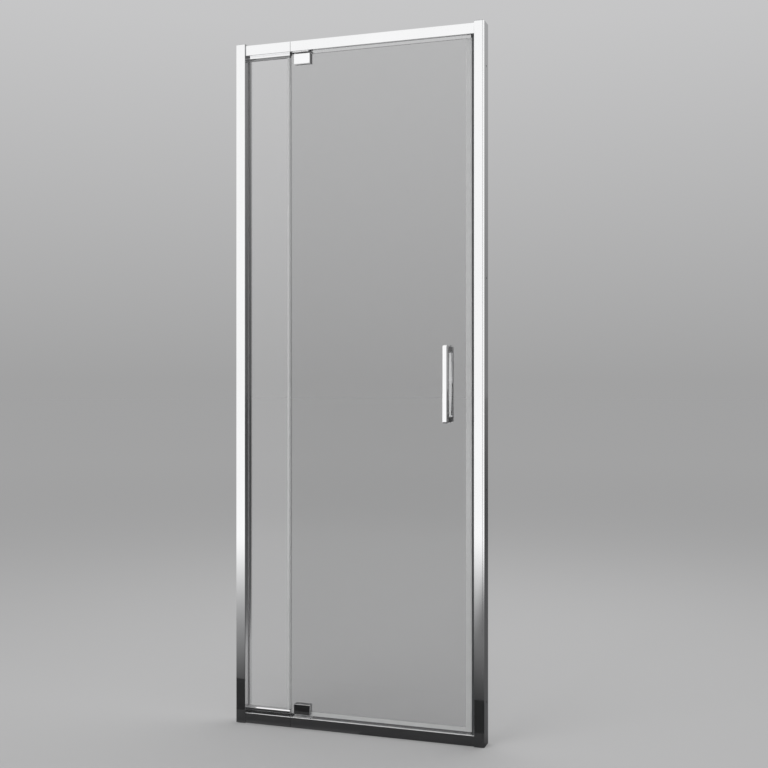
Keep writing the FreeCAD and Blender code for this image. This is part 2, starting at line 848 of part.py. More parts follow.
def strike():
    made = new_body("strike_profile")
    cover = "jamb_inner - strike_cover_thick"
    section = new_sketch(made, "XY_Plane")
    outline(section, [
        ("strike_left", "-box_half"),
        (cover, "-box_half"),
        (cover, "-strike_back - strike_cover"),
        ("jamb_inner", "-strike_back - strike_cover"),
        ("jamb_inner", "-grip_half + bead_fit"),
        ("jamb_inner + strike_root", "-grip_half + bead_fit"),
        ("jamb_inner + strike_root", "grip_half - bead_fit"),
        ("jamb_inner", "grip_half - bead_fit"),
        ("jamb_inner", "strike_back + strike_cover"),
        (cover, "strike_back + strike_cover"),
        (cover, "strike_back"),
        ("strike_left - strike_fin", "strike_back"),
        ("strike_left - strike_fin", "strike_back - seal_wall"),
        ("strike_left", "strike_back - seal_wall"),
    ])
    chamber = "strike_left + box_wall"
    rectangle(section, chamber, chamber + " + magnet_thick + 2 * magnet_gap",
              "-magnet_half - magnet_gap", "magnet_half + magnet_gap")
    pad(made, section, "head_face - sill_face")
    bind(made, "Placement.Base.z", "sill_face")

    start = "strike_left + box_wall + magnet_gap"
    keep(strip("strike_magnet", (start, start + " + magnet_thick"),
               ("-magnet_half", "magnet_half"), ("door_foot", "door_top")), "strike_magnet")


# ---- door glass, with notches for the pivots and holes for clamps and handles

def door_pane():
    made = pane("door_glass", "door_left", "door_right", "door_foot", "door_top")
    notches = new_sketch(made, "XZ_Plane")
    rectangle(notches, "pivot_x - notch_half", "pivot_x + notch_half",
              "upper_hinge_z - notch_depth", "head_face")
    rectangle(notches, "pivot_x - notch_half", "pivot_x + notch_half",
              "sill_face", "lower_hinge_z + notch_depth")
    pocket(made, notches, both_ways=True)
    soften(made, "Fillet", "notch_round", lambda edge: runs_along(edge, 1) and (
        lies_at(edge, z="upper_hinge_z - notch_depth")
        or lies_at(edge, z="lower_hinge_z + notch_depth")))
    holes = new_sketch(made, "XZ_Plane")
    for x in ("pivot_x - clamp_pitch / 2", "pivot_x + clamp_pitch / 2"):
        small_bore(holes, x, "upper_hinge_z - clamp_drop", "sleeve_radius + screw_gap")
        small_bore(holes, x, "lower_hinge_z + clamp_drop", "sleeve_radius + screw_gap")
    for z in ("handle_height - stud_pitch / 2", "handle_height + stud_pitch / 2"):
        small_bore(holes, "handle_x", z, "stud_sleeve + screw_gap")
    pocket(made, holes, both_ways=True)


# ---- clamp hinge: two blocks, a pad on each side of the glass, a pin and its screws

def clamp_hinge(word, level, turn, upwards):
    at = ("pivot_x", "0", level)
    low = "-hinge_height"

    front = new_body(word + "_hinge_front", at=at, turn=turn)
    face = new_sketch(front, "XZ_Plane", "clamp_half")
    rectangle(face, "-hinge_width / 2", "hinge_width / 2", low, "0")
    pad(front, face, "hinge_half_depth - clamp_half")
    soften(front, "Fillet", "hinge_round", lambda edge: (
        abs(edge.BoundBox.YMax + number("hinge_half_depth")) < near))
    threads = new_sketch(front, "XZ_Plane", "clamp_half")
    for x in ("-clamp_pitch / 2", "clamp_pitch / 2"):
        small_bore(threads, x, "-clamp_drop", "clamp_screw_radius + press_gap")
    pocket(front, threads, "clamp_thread_depth", flip=True)

    # the back block carries the boss that fills the glass notch and holds the pin
    back = new_body(word + "_hinge_back", at=at, turn=turn)
    face = new_sketch(back, "XZ_Plane", "-hinge_half_depth")
    rectangle(face, "-hinge_width / 2", "hinge_width / 2", low, "0")
    pad(back, face, "hinge_half_depth - clamp_half")
    soften(back, "Fillet", "hinge_round", lambda edge: (
        abs(edge.BoundBox.YMin - number("hinge_half_depth")) < near))
    boss = new_sketch(back, "XZ_Plane", "-clamp_half")
    rectangle(boss, "-boss_half", "boss_half", "-boss_height", "0")
    pad(back, boss, "2 * clamp_half")
    holes = new_sketch(back, "XZ_Plane", "-hinge_half_depth")
    for x in ("-clamp_pitch / 2", "clamp_pitch / 2"):
        small_bore(holes, x, "-clamp_drop", "clamp_screw_radius + screw_gap")
    small_bore(holes, "0", "-grub_drop", "grub_radius + press_gap")
    pocket(back, holes, "hinge_half_depth", flip=True)
    sink(back, "clamp_head_depth - screw_gap", "clamp_head_radius",
         ("clamp_pitch / 2", "hinge_half_depth", "-clamp_drop"), "y")
    bore = new_sketch(back, "XY_Plane")
    circle(bore, "0", "0", "pin_radius + press_gap")
    pocket(back, bore, "pin_depth")

    pads = new_body(word + "_hinge_gaskets", at=at, turn=turn)
    for start in ("glass_half", "-clamp_half"):
        section = new_sketch(pads, "XZ_Plane", start)
        outline(section, [
            ("-hinge_width / 2 + hinge_pad_inset", low + " + hinge_pad_inset"),
            ("hinge_width / 2 - hinge_pad_inset", low + " + hinge_pad_inset"),
            ("hinge_width / 2 - hinge_pad_inset", "-hinge_pad_inset"),
            ("notch_half", "-hinge_pad_inset"),
            ("notch_half", "-notch_depth"),
            ("-notch_half", "-notch_depth"),
            ("-notch_half", "-hinge_pad_inset"),
            ("-hinge_width / 2 + hinge_pad_inset", "-hinge_pad_inset"),
        ])
        for x in ("-clamp_pitch / 2", "clamp_pitch / 2"):
            small_bore(section, x, "-clamp_drop", "sleeve_radius + screw_gap")
        pad(pads, section, "hinge_pad")

    shaft = new_body(word + "_pivot_pin", at=at, turn=turn)
    reach = "pin_reach + %s_hinge_gap" % word
    section = new_sketch(shaft, "XZ_Plane")
    outline(section, [
        ("0", "-pin_depth"),
        ("pin_radius", "-pin_depth"),
        ("pin_radius", reach + " - pin_point"),
        ("pin_radius - pin_point", reach),
        ("0", reach),
    ])
    revolve(shaft, section)

    screws = []
    sleeves = []
    forwards = Vector(0, -1, 0)
    drop = "%s - %s * clamp_drop" % (level, upwards)
    for index, way in ((1, "-1"), (2, "1")):
        x = "pivot_x + %s * clamp_pitch / 2" % way
        screws.append(sunk_screw(
            "%s_clamp_screw_%d" % (word, index), "clamp_screw_radius",
            "hinge_half_depth + clamp_half + clamp_thread_depth - grub_sink",
            "clamp_head_radius", "clamp_head_depth", (x, "hinge_half_depth", drop), forwards))
        sleeves.append(sleeve(
            "%s_clamp_sleeve_%d" % (word, index), "sleeve_radius", "sleeve_bore",
            "2 * clamp_half", (x, "clamp_half", drop), forwards))
    grub_z = "%s - %s * grub_drop" % (level, upwards)
    grub = rod(word + "_pin_grub", "grub_radius", "hinge_half_depth - grub_sink - pin_radius",
               ("pivot_x", "hinge_half_depth - grub_sink", grub_z), forwards)
    return screws, sleeves, grub


# ---- bar handles, one on each side of the glass, on two studs

def handle(name, turn):
    # drawn on the side of +Y, with the glass's own middle at the origin
    made = new_body(name, at=("handle_x", "0", "handle_height"), turn=turn)
    end = "handle_length / 2"
    bar = new_sketch(made, "YZ_Plane")
    rectangle(bar, "handle_foot", "handle_front", "-" + end, end)
    pad(made, bar, "handle_width", both_ways=True)

    # the finger gap: its grip side is one shallow arch
    gap = new_sketch(made, "YZ_Plane")
    corners = [
        ("finger_depth", "finger_half"),
        ("glass_half", "finger_half"),
        ("glass_half", "-finger_half"),
        ("finger_depth", "-finger_half"),
    ]
    spots = [Vector(number(x), number(y), 0) for x, y in corners]
    crown = Vector(number("finger_depth + grip_arch"), 0, 0)
    for index, (start, stop) in enumerate(zip(spots, spots[1:])):
        gap.addGeometry(Part.LineSegment(start, stop), False)
        pin(gap, index, 1, *corners[index])
    pin(gap, 2, 2, *corners[3])
    arc = gap.addGeometry(Part.Arc(spots[3], crown, spots[0]), False)
    for first, second in ((0, 1), (1, 2), (2, arc), (arc, 0)):
        gap.addConstraint(Sketcher.Constraint("Coincident", first, 2, second, 1))
    index = gap.addConstraint(Sketcher.Constraint("Radius", arc, number("arch_radius")))
    bind(gap, "Constraints[%d]" % index, "arch_radius")
    pocket(made, gap, both_ways=True)

    soften(made, "Fillet", "finger_round", lambda edge: runs_along(edge, 0) and (
        lies_at(edge, y="finger_depth")))
    flank = number("handle_width / 2")
    foot = number("handle_foot")
    half = number("finger_half")
    front = number("handle_front")
    soften(made, "Chamfer", "finger_edge", lambda edge: (
        abs(abs(edge.BoundBox.Center.x) - flank) < near
        and edge.BoundBox.XLength < near
        and abs(edge.BoundBox.Center.z) + edge.BoundBox.ZLength / 2 < half + near
        and foot + near < edge.BoundBox.Center.y < front - near))
    soften(made, "Fillet", "handle_corner", lambda edge: runs_along(edge, 1) and (
        abs(abs(edge.BoundBox.Center.z) - number(end)) < near))
    soften(made, "Fillet", "handle_edge", lambda edge: (
        abs(edge.BoundBox.YMin - front) < near and abs(edge.BoundBox.YMax - front) < near))

    bores = new_sketch(made, "XZ_Plane")
    for z in ("-stud_pitch / 2", "stud_pitch / 2"):
        small_bore(bores, "0", z, "stud_radius + press_gap")
    pocket(made, bores, "stud_end")
    return made


def grub_bores(made):
    # the lower post takes its screw from below, the upper one from the finger gap
    for level in ("-handle_length / 2", "finger_half"):
        bore = new_sketch(made, "XY_Plane", level)
        small_bore(bore, "0", "grub_y", "grub_radius + press_gap")
        pocket(made, bore, "handle_post / 2", flip=True)


def handles():
    handle("handle_outer", Rotation(Vector(0, 0, 1), 180))
    inner = handle("handle_inner", Rotation())
    grub_bores(inner)

    studs = []
    sleeves = []
    feet = []
    grubs = []
    forwards = Vector(0, -1, 0)
    for index, way in ((1, "-1"), (2, "1")):
        z = "handle_height + %s * stud_pitch / 2" % way
        studs.append(rod("handle_stud_%d" % index, "stud_radius", "2 * stud_end",
                         ("handle_x", "stud_end", z), forwards))
        sleeves.append(sleeve("handle_sleeve_%d" % index, "stud_sleeve", "stud_bore",
                              "glass_thick", ("handle_x", "glass_half", z), forwards))
        for word, y in (("back", "handle_foot"), ("front", "-glass_half")):
            feet.append(sleeve("handle_foot_%s_%d" % (word, index), "handle_foot_radius",
                               "stud_bore", "handle_foot_thick", ("handle_x", y, z), forwards))
    upwards = Vector(0, 0, 1)
    for index, start in ((1, "-handle_length / 2"), (2, "finger_half")):
        grubs.append(rod("handle_grub_%d" % index, "grub_radius",
                         "handle_post / 2 - grub_sink - stud_radius",
                         ("handle_x", "grub_y", "handle_height + %s + grub_sink" % start),
                         upwards))
    group("handle_studs", studs)
    group("handle_sleeves", sleeves)
    group("handle_washers", feet)
    group("handle_grub_screws", grubs)


# ---- seals on the door

def door_seals():
    edge = new_body("door_edge_seal", at=("0", "0", "door_foot - sweep_drop"))
    section = new_sketch(edge, "XY_Plane")
    half = [
        ("box_right", "box_half"),
        ("box_left", "box_half"),
        ("box_left", "seal_outer"),
        ("seal_left", "seal_outer"),
        ("seal_left", "seal_inner"),
        ("seal_web", "seal_inner"),
    ]
    mirrored = [(x, "-(%s)" % y) for x, y in reversed(half)]
    outline(section, half + mirrored)
    chamber = "box_left + box_wall"
    rectangle(section, chamber, chamber + " + magnet_thick + 2 * magnet_gap",
              "-magnet_half - magnet_gap", "magnet_half + magnet_gap")
    pad(edge, section, "door_top - door_foot + sweep_drop")

    start = "box_left + box_wall + magnet_gap"
    keep(strip("door_magnet", (start, start + " + magnet_thick"),
               ("-magnet_half", "magnet_half"), ("door_foot", "door_top")), "door_magnet")

    # the sweep grips the lower edge, and its blade hangs outside over the sill
    sweep = new_body("door_bottom_seal", at=("sweep_left", "0", "door_foot"))
    section = new_sketch(sweep, "YZ_Plane")
    web = "-seal_gap - seal_wall"
    outline(section, [
        ("-seal_outer", "sweep_leg"),
        ("-seal_outer", "-sweep_drop"),
        ("-seal_inner", "-sweep_drop"),
        ("-seal_inner", web),
        ("seal_outer", web),
        ("seal_outer", "sweep_leg"),
        ("seal_inner", "sweep_leg"),
        ("seal_inner", "-seal_gap"),
        ("-seal_inner", "-seal_gap"),
        ("-seal_inner", "sweep_leg"),
    ])
    pad(sweep, section, "sweep_right - (sweep_left)")


# ---- screws of the frame

def frame_screws():
    for side, word in (("-1", "left"), ("1", "right")):
        toward = Vector(-float(side), 0, 0)
        seat = side + " * (jamb_inner + jamb_wall)"
        screws = []
        for depth in ("-port_offset", "port_offset"):
            for height in ("sill_face - port_height", "head_face + port_height"):
                screws.append(pan_screw(
                    "rail_screw_%s_%d" % (word, len(screws) + 1), "tapping_radius",
                    "tapping_length", (seat, depth, height), toward))
        group("rail_screws_" + word, screws)

    locks = []
    for side in ("-1", "1"):
        for index in range(int(number("lock_count"))):
            height = "lock_margin + %d * lock_pitch_run / (lock_count - 1)" % index
            locks.append(pan_screw(
                "lock_screw_%d" % (len(locks) + 1), "screw_radius", "short_screw",
                ("%s * lock_x" % side, "jamb_back", height), Vector(0, -1, 0)))
    group("lock_screws", locks)

    joins = []
    for level, upwards in (("head_face + slot_depth", 1), ("sill_face - slot_depth", -1)):
        for way in ("-1", "1"):
            joins.append(pan_screw(
                "joiner_screw_%d" % (len(joins) + 1), "screw_radius", "short_screw",
                ("split_x + %s * joiner_screw_reach" % way, "0", level), Vector(0, 0, upwards)))
    group("joiner_screws", joins)


# ---- the whole door

def build():
    upright = Rotation()
    over_x = Rotation(Vector(1, 0, 0), 180)
    over_y = Rotation(Vector(0, 1, 0), 180)

    for side, word in (("-1", "left"), ("1", "right")):
        wall_profile(side, word)
        jamb(side, word)
        jamb_cap(side, word)

    for word, level, turn in (("top", "head_face", upright), ("bottom", "sill_face", over_x)):
        rail(word + "_rail_short", "-jamb_inner", "short_end", "-", level, turn)
        rail(word + "_rail_long", "long_start", "jamb_inner", "+", level, turn)
        rail_joiner(word + "_rail_joiner", level, turn)
    slot_trim("head_slot_trim", "head_face", upright)
    slot_trim("sill_slot_trim", "sill_face", over_x)

    fixed_panel()
    glazing_channel("glazing_channel_top", "head_face", upright)
    glazing_channel("glazing_channel_bottom", "sill_face + bead_lift", over_x)
    fixed_glass_seal()

    plate_screws = pivot_set("upper", "head_face", upright, "1")
    plate_screws += pivot_set("lower", "sill_face", over_y, "-1")
    group("pivot_plate_screws", plate_screws)
    thrust_washer()
    strike()
    frame_screws()

    door_pane()
    screws, sleeves, upper_grub = clamp_hinge("upper", "upper_hinge_z", upright, "1")
    more_screws, more_sleeves, lower_grub = clamp_hinge("lower", "lower_hinge_z", over_y, "-1")
    group("hinge_screws", screws + more_screws)
    group("hinge_sleeves", sleeves + more_sleeves)
    group("pin_grub_screws", [upper_grub, lower_grub])
    handles()
    door_seals()


def check():
    doc.recompute()
    for made in doc.Objects:
        if "Invalid" in made.State or "Error" in made.State:
            raise ValueError(made.Label + " is in state " + ", ".join(made.State))
    for made in nodes:
        if made.Shape.isNull() or not made.Shape.isValid() or not made.Shape.Solids:
            raise ValueError(made.Label + " has no valid solid")


def write():
    os.makedirs("parts", exist_ok=True)
    for made in nodes:
        made.Shape.exportStep("parts/%s.step" % made.Label)


fill_sheet()
build()
check()
write()
print("wrote %d nodes" % len(nodes))
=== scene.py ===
import bmesh
import bpy
import json
import math
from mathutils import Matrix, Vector


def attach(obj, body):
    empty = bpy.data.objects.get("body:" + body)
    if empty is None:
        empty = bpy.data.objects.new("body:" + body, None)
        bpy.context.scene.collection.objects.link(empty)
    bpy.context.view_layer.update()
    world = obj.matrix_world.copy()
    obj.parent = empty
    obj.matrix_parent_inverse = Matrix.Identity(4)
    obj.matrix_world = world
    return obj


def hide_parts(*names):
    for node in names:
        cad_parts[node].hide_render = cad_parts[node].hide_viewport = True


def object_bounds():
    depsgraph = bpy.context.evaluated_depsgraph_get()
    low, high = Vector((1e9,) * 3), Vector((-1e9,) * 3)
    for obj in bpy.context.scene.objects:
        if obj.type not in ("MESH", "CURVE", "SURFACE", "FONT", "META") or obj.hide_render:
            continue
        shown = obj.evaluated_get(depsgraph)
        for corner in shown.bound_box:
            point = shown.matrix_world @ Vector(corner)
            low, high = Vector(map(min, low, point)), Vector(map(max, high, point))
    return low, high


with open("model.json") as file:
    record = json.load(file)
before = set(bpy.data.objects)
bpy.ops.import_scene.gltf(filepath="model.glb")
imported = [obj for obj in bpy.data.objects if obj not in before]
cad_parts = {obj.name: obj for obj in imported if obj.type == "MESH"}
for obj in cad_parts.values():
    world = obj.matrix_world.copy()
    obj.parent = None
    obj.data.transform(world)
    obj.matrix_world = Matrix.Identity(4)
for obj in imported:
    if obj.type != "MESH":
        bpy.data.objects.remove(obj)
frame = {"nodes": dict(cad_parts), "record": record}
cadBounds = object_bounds()
nodes = frame["nodes"]
scene = bpy.context.scene
scene.view_settings.view_transform = "Standard"
mm = 0.001
print("frame loaded:", len(nodes), "nodes")


# the camera stands where the photo was taken from
cameraValues = {
    "place": (1.1027, -3.0668, 1.0106),
    "turn": 18.5,        # degrees away from straight on, towards the pivot side
    "lens": 53.23,
    "shiftUp": -0.0054,
}


def placeCamera(values):
    data = bpy.data.cameras.new("camera")
    data.lens = values["lens"]
    data.shift_y = values["shiftUp"]
    camera = bpy.data.objects.new("camera", data)
    scene.collection.objects.link(camera)
    camera.location = values["place"]
    camera.rotation_euler = (math.radians(90), 0, math.radians(values["turn"]))
    scene.camera = camera


# a pale floor that fades into the backdrop; metal mirrors it darker close before the door,
# and lit further out; the pairs say where a tone starts and where it is full
floorValues = {
    "radius": 60.0,
    "sides": 96,
    "roughness": 0.6,
    "pale": (0.52, 0.52, 0.523, 1),
    "fade": (1.2, 12.0),                    # metres from the door
    "shade": (0.05, 0.05, 0.051, 1),
    "shadeFurther": (0.19, 0.19, 0.192, 1),
    "shadeReach": (0.35, 1.3),              # metres from the door
    "shadeEdge": (0.10, -0.06),             # metres along Y
    "shadeBehind": (0.46, 0.46, 0.462, 1),
    "farBehind": (0.92, 0.92, 0.922, 1),
    "behindReach": (1.4, 3.0),              # metres from the door
    "shadeAside": (0.10, 0.10, 0.102, 1),   # behind the door on its right
    "asideEdge": (0.05, 0.30),              # X of the direction from the door
    "glow": (0.92, 0.92, 0.92, 1),          # below the lit wall
    "glowReach": (0.7, 4.4),                # metres from the door
}
skyValues = {
    "horizon": (0.36, 0.36, 0.362, 1),
    "middle": (0.56, 0.56, 0.565, 1),
    "top": (0.80, 0.80, 0.80, 1),
    "middleRise": 0.30,      # sine of the height at which the middle tone is reached
    "plain": (0.62, 0.62, 0.62, 1),         # what matt surfaces are lit by
    # only mirrored: a lit wall before the door and on its left, a dark screen on its right,
    # paler high up and beyond it, and a dark patch that the tops of the low rails mirror
    "softWall": (1.02, 1.02, 1.02, 1),
    "screen": (0.10, 0.10, 0.102, 1),
    "screenHigh": (0.27, 0.27, 0.272, 1),
    "beyondScreen": (0.34, 0.34, 0.343, 1),
    "patch": (0.10, 0.10, 0.102, 1),
    # where each starts and is full, along an axis of the direction
    "screenEdge": ("X", 0.05, 0.36),
    "screenRise": ("Z", 0.02, 0.34),
    "beyondEdge": ("X", 0.60, 0.80),
    "patchEdges": (("Y", 0.50, 0.70), ("Z", 0.50, 0.36), ("X", -0.60, -0.46), ("X", 0.0, -0.18)),
}
# the lit wall's edges, which sky and floor share
wallEdges = {
    "front": (("Y", 0.80, 0.45), ("X", 0.02, -0.14)),
    "behind": ("Y", -0.10, 0.30),
    "farLeft": ("X", -0.62, -0.76),
}


def softStep(tree, value, low, high):
    made = tree.nodes.new("ShaderNodeMapRange")
    made.interpolation_type = "SMOOTHSTEP"
    made.inputs["From Min"].default_value = low
    made.inputs["From Max"].default_value = high
    tree.links.new(value, made.inputs["Value"])
    return made.outputs["Result"]


def stepAlong(tree, split, edge):
    axis, low, high = edge
    return softStep(tree, split.outputs[axis], low, high)


def product(tree, first, second):
    made = tree.nodes.new("ShaderNodeMath")
    made.operation = "MULTIPLY"
    tree.links.new(first, made.inputs[0])
    tree.links.new(second, made.inputs[1])
    return made.outputs[0]


def withinEdges(tree, split, edges):
    share = stepAlong(tree, split, edges[0])
    for edge in edges[1:]:
        share = product(tree, share, stepAlong(tree, split, edge))
    return share


def blendTones(tree, factor, first, second):
    # each tone is a colour, or the output of another node; a Mix node has one set of sockets
    # for each kind of value, and 6, 7 and 2 are those for colours
    made = tree.nodes.new("ShaderNodeMix")
    made.data_type = "RGBA"
    tree.links.new(factor, made.inputs[0])
    for place, tone in ((6, first), (7, second)):
        if isinstance(tone, tuple):
            made.inputs[place].default_value = tone
        else:
            tree.links.new(tone, made.inputs[place])
    return made.outputs[2]


def softWallShare(tree, split, edges):
    # how much a direction points to the lit wall: before the door and round its left side
    front = withinEdges(tree, split, edges["front"])
    # behind the door only what lies far to the side belongs to the wall
    side = product(tree, front, stepAlong(tree, split, edges["farLeft"]))
    return blendTones(tree, stepAlong(tree, split, edges["behind"]), front, side)


def mirrorRay(tree):
    # 1 for a ray that was mirrored on its way, also where it went through glass
    lightPath = tree.nodes.new("ShaderNodeLightPath")
    made = tree.nodes.new("ShaderNodeMath")
    made.operation = "MINIMUM"
    made.inputs[1].default_value = 1.0
    tree.links.new(lightPath.outputs["Glossy Depth"], made.inputs[0])
    return made.outputs[0]


def onlyMirrored(tree, share):
    return product(tree, share, mirrorRay(tree))


def vectorNode(tree, kind, vector, operation=None):
    made = tree.nodes.new(kind)
    if operation:
        made.operation = operation
    tree.links.new(vector, made.inputs[0])
    return made


def mattPaint(mesh, name, roughness):
    paint = bpy.data.materials.new(name)
    paint.use_nodes = True
    shader = paint.node_tree.nodes["Principled BSDF"]
    shader.inputs["Roughness"].default_value = roughness
    shader.inputs["Specular IOR Level"].default_value = 0.0
    mesh.materials.append(paint)
    return paint.node_tree, shader


def layFloor(values):
    shape = bmesh.new()
    bmesh.ops.create_circle(shape, cap_ends=True, radius=values["radius"],
                            segments=values["sides"])
    mesh = bpy.data.meshes.new("studioFloor")
    shape.to_mesh(mesh)
    shape.free()
    floor = bpy.data.objects.new("studioFloor", mesh)
    scene.collection.objects.link(floor)
    tree, shader = mattPaint(mesh, "floorPaint", values["roughness"])
    where = tree.nodes.new("ShaderNodeTexCoord").outputs["Object"]
    away = vectorNode(tree, "ShaderNodeVectorMath", where, "LENGTH").outputs["Value"]
    way = vectorNode(tree, "ShaderNodeVectorMath", where, "NORMALIZE").outputs["Vector"]
    way = vectorNode(tree, "ShaderNodeSeparateXYZ", way)
    place = vectorNode(tree, "ShaderNodeSeparateXYZ", where)

    # the lit rim of the floor has the tone of the backdrop
    rim = tuple(back / lit for back, lit in zip(skyValues["horizon"][:3], skyValues["plain"]))
    tone = blendTones(tree, softStep(tree, away, *values["fade"]), values["pale"], rim + (1,))
    shade = blendTones(tree, softStep(tree, away, *values["shadeReach"]),
                       values["shade"], values["shadeFurther"])
    behind = blendTones(tree, softStep(tree, away, *values["behindReach"]),
                        values["shadeBehind"], values["farBehind"])
    right = softStep(tree, way.outputs["X"], *values["asideEdge"])
    behind = blendTones(tree, right, behind, values["shadeAside"])
    before = softStep(tree, place.outputs["Y"], *values["shadeEdge"])
    mirrored = blendTones(tree, before, behind, shade)
    tone = blendTones(tree, mirrorRay(tree), tone, mirrored)
    tree.links.new(tone, shader.inputs["Base Color"])
    lit = product(tree, softWallShare(tree, way, wallEdges),
                  softStep(tree, away, *values["glowReach"]))
    glow = blendTones(tree, onlyMirrored(tree, lit), (0, 0, 0, 1), values["glow"])
    tree.links.new(glow, shader.inputs["Emission Color"])
    shader.inputs["Emission Strength"].default_value = 1.0


# a low dark card before the door, which is only seen mirrored, keeps the sill's edges dark
cardValues = {"width": 4.0, "top": 0.095, "place": -0.15, "roughness": 1.0,
              "tone": (0.075, 0.075, 0.076, 1)}


def standCard(values):
    half = values["width"] / 2
    mesh = bpy.data.meshes.new("darkCard")
    mesh.from_pydata([(-half, 0, 0), (half, 0, 0), (half, 0, values["top"]),
                      (-half, 0, values["top"])], [], [(0, 1, 2, 3)])
    card = bpy.data.objects.new("darkCard", mesh)
    card.location.y = values["place"]
    scene.collection.objects.link(card)
    tree, shader = mattPaint(mesh, "cardPaint", values["roughness"])
    shader.inputs["Base Color"].default_value = values["tone"]
    for rays in ("camera", "diffuse", "transmission", "volume_scatter", "shadow"):
        setattr(card, "visible_" + rays, False)


def makeSky(values):
    world = bpy.data.worlds.new("studioSky")
    scene.world = world
    world.use_nodes = True
    tree = world.node_tree
    way = tree.nodes.new("ShaderNodeTexCoord").outputs["Generated"]
    way = vectorNode(tree, "ShaderNodeSeparateXYZ", way)
    ramp = tree.nodes.new("ShaderNodeValToRGB")
    tones = ramp.color_ramp
    tones.elements[0].color = values["horizon"]
    tones.elements[1].color = values["top"]
    tones.elements.new(values["middleRise"]).color = values["middle"]
    tree.links.new(way.outputs["Z"], ramp.inputs["Fac"])

    patch = onlyMirrored(tree, withinEdges(tree, way, values["patchEdges"]))
    tone = blendTones(tree, patch, ramp.outputs["Color"], values["patch"])
    wall = onlyMirrored(tree, softWallShare(tree, way, wallEdges))
    tone = blendTones(tree, wall, tone, values["softWall"])
    dark = blendTones(tree, stepAlong(tree, way, values["screenRise"]),
                      values["screen"], values["screenHigh"])
    dark = blendTones(tree, stepAlong(tree, way, values["beyondEdge"]),
                      dark, values["beyondScreen"])
    screen = onlyMirrored(tree, stepAlong(tree, way, values["screenEdge"]))
    tone = blendTones(tree, screen, tone, dark)
    lightPath = tree.nodes.new("ShaderNodeLightPath")
    tone = blendTones(tree, lightPath.outputs["Is Diffuse Ray"], tone, values["plain"])
    tree.links.new(tone, tree.nodes["Background"].inputs["Color"])


# the boxes light matt surfaces and are not mirrored
lampValues = {
    "frontBox": {"place": (-1.6, -3.4, 3.0), "aim": (0.0, 0.0, 1.0), "size": (2.6, 2.0),
                 "power": 40.0},
    "topBox": {"place": (0.4, 1.2, 3.4), "aim": (0.0, 0.3, 0.0), "size": (2.6, 2.0),
               "power": 34.0},
}


def hangLamps(values):
    for name, lamp in values.items():
        data = bpy.data.lights.new(name, "AREA")
        data.shape = "RECTANGLE"
        data.size, data.size_y = lamp["size"]
        data.energy = lamp["power"]
        made = bpy.data.objects.new(name, data)
        scene.collection.objects.link(made)
        made.location = lamp["place"]
        toward = Vector(lamp["aim"]) - Vector(lamp["place"])
        made.rotation_euler = toward.to_track_quat("-Z", "Y").to_euler()
        for rays in ("camera", "glossy", "transmission"):
            setattr(made, "visible_" + rays, False)


placeCamera(cameraValues)
layFloor(floorValues)
standCard(cardValues)
makeSky(skyValues)
hangLamps(lampValues)
print("camera, floor and lamps are in place")


# effects that several finishes share
effectValues = {
    "lineDetail": 3.0,
    "driftScale": 4.0,
    "driftDetail": 2.0,
    "patchDetail": 4.0,
    "patchRoughness": 0.6,
    "grainDetail": 2.0,
    "cloudScale": 30.0,
}


def newEffect(name, inputs, outputs):
    group = bpy.data.node_groups.new(name, "ShaderNodeTree")
    for label in inputs:
        kind = "Vector" if label in ("Coordinates", "Stretch") else "Float"
        group.interface.new_socket(label, in_out="INPUT", socket_type="NodeSocket" + kind)
    for label in outputs:
        group.interface.new_socket(label, in_out="OUTPUT", socket_type="NodeSocketFloat")
    return group, group.nodes.new("NodeGroupInput").outputs, group.nodes.new("NodeGroupOutput")


def noiseOf(group, coordinates, **settings):
    # each setting is a number, or the output of another node
    made = group.nodes.new("ShaderNodeTexNoise")
    group.links.new(coordinates, made.inputs["Vector"])
    for label, value in settings.items():
        if isinstance(value, bpy.types.NodeSocket):
            group.links.new(value, made.inputs[label])
        else:
            made.inputs[label].default_value = value
    return made.outputs["Fac"]


def putOut(group, given, end, rough, **values):
    # the roughness goes from the least to the most as the given value goes from 0 to 1
    made = group.nodes.new("ShaderNodeMapRange")
    group.links.new(rough, made.inputs["Value"])
    group.links.new(given["Least Rough"], made.inputs["To Min"])
    group.links.new(given["Most Rough"], made.inputs["To Max"])
    group.links.new(made.outputs["Result"], end.inputs["Roughness"])
    for label, value in values.items():
        group.links.new(value, end.inputs[label])


def makeDrawnLines(values):
    # fine lines that run the way a bar was drawn, and a slow drift in how sharp it mirrors
    group, given, end = newEffect(
        "drawnLines", ["Coordinates", "Stretch", "Least Rough", "Most Rough"],
        ["Roughness", "Height", "Tone"])
    stretched = group.nodes.new("ShaderNodeVectorMath")
    stretched.operation = "MULTIPLY"
    group.links.new(given["Coordinates"], stretched.inputs[0])
    group.links.new(given["Stretch"], stretched.inputs[1])
    lines = noiseOf(group, stretched.outputs[0], Scale=1.0, Detail=values["lineDetail"])
    drift = noiseOf(group, given["Coordinates"], Scale=values["driftScale"],
                    Detail=values["driftDetail"])
    putOut(group, given, end, product(group, lines, drift), Height=lines, Tone=drift)
    return group


def makeTouchedSheen(values):
    # broad soft patches, as on polished metal that has been wiped
    group, given, end = newEffect(
        "touchedSheen", ["Coordinates", "Patch Scale", "Least Rough", "Most Rough"],
        ["Roughness", "Tone"])
    patches = noiseOf(group, given["Coordinates"], Scale=given["Patch Scale"],
                      Detail=values["patchDetail"], Roughness=values["patchRoughness"])
    putOut(group, given, end, patches, Tone=patches)
    return group


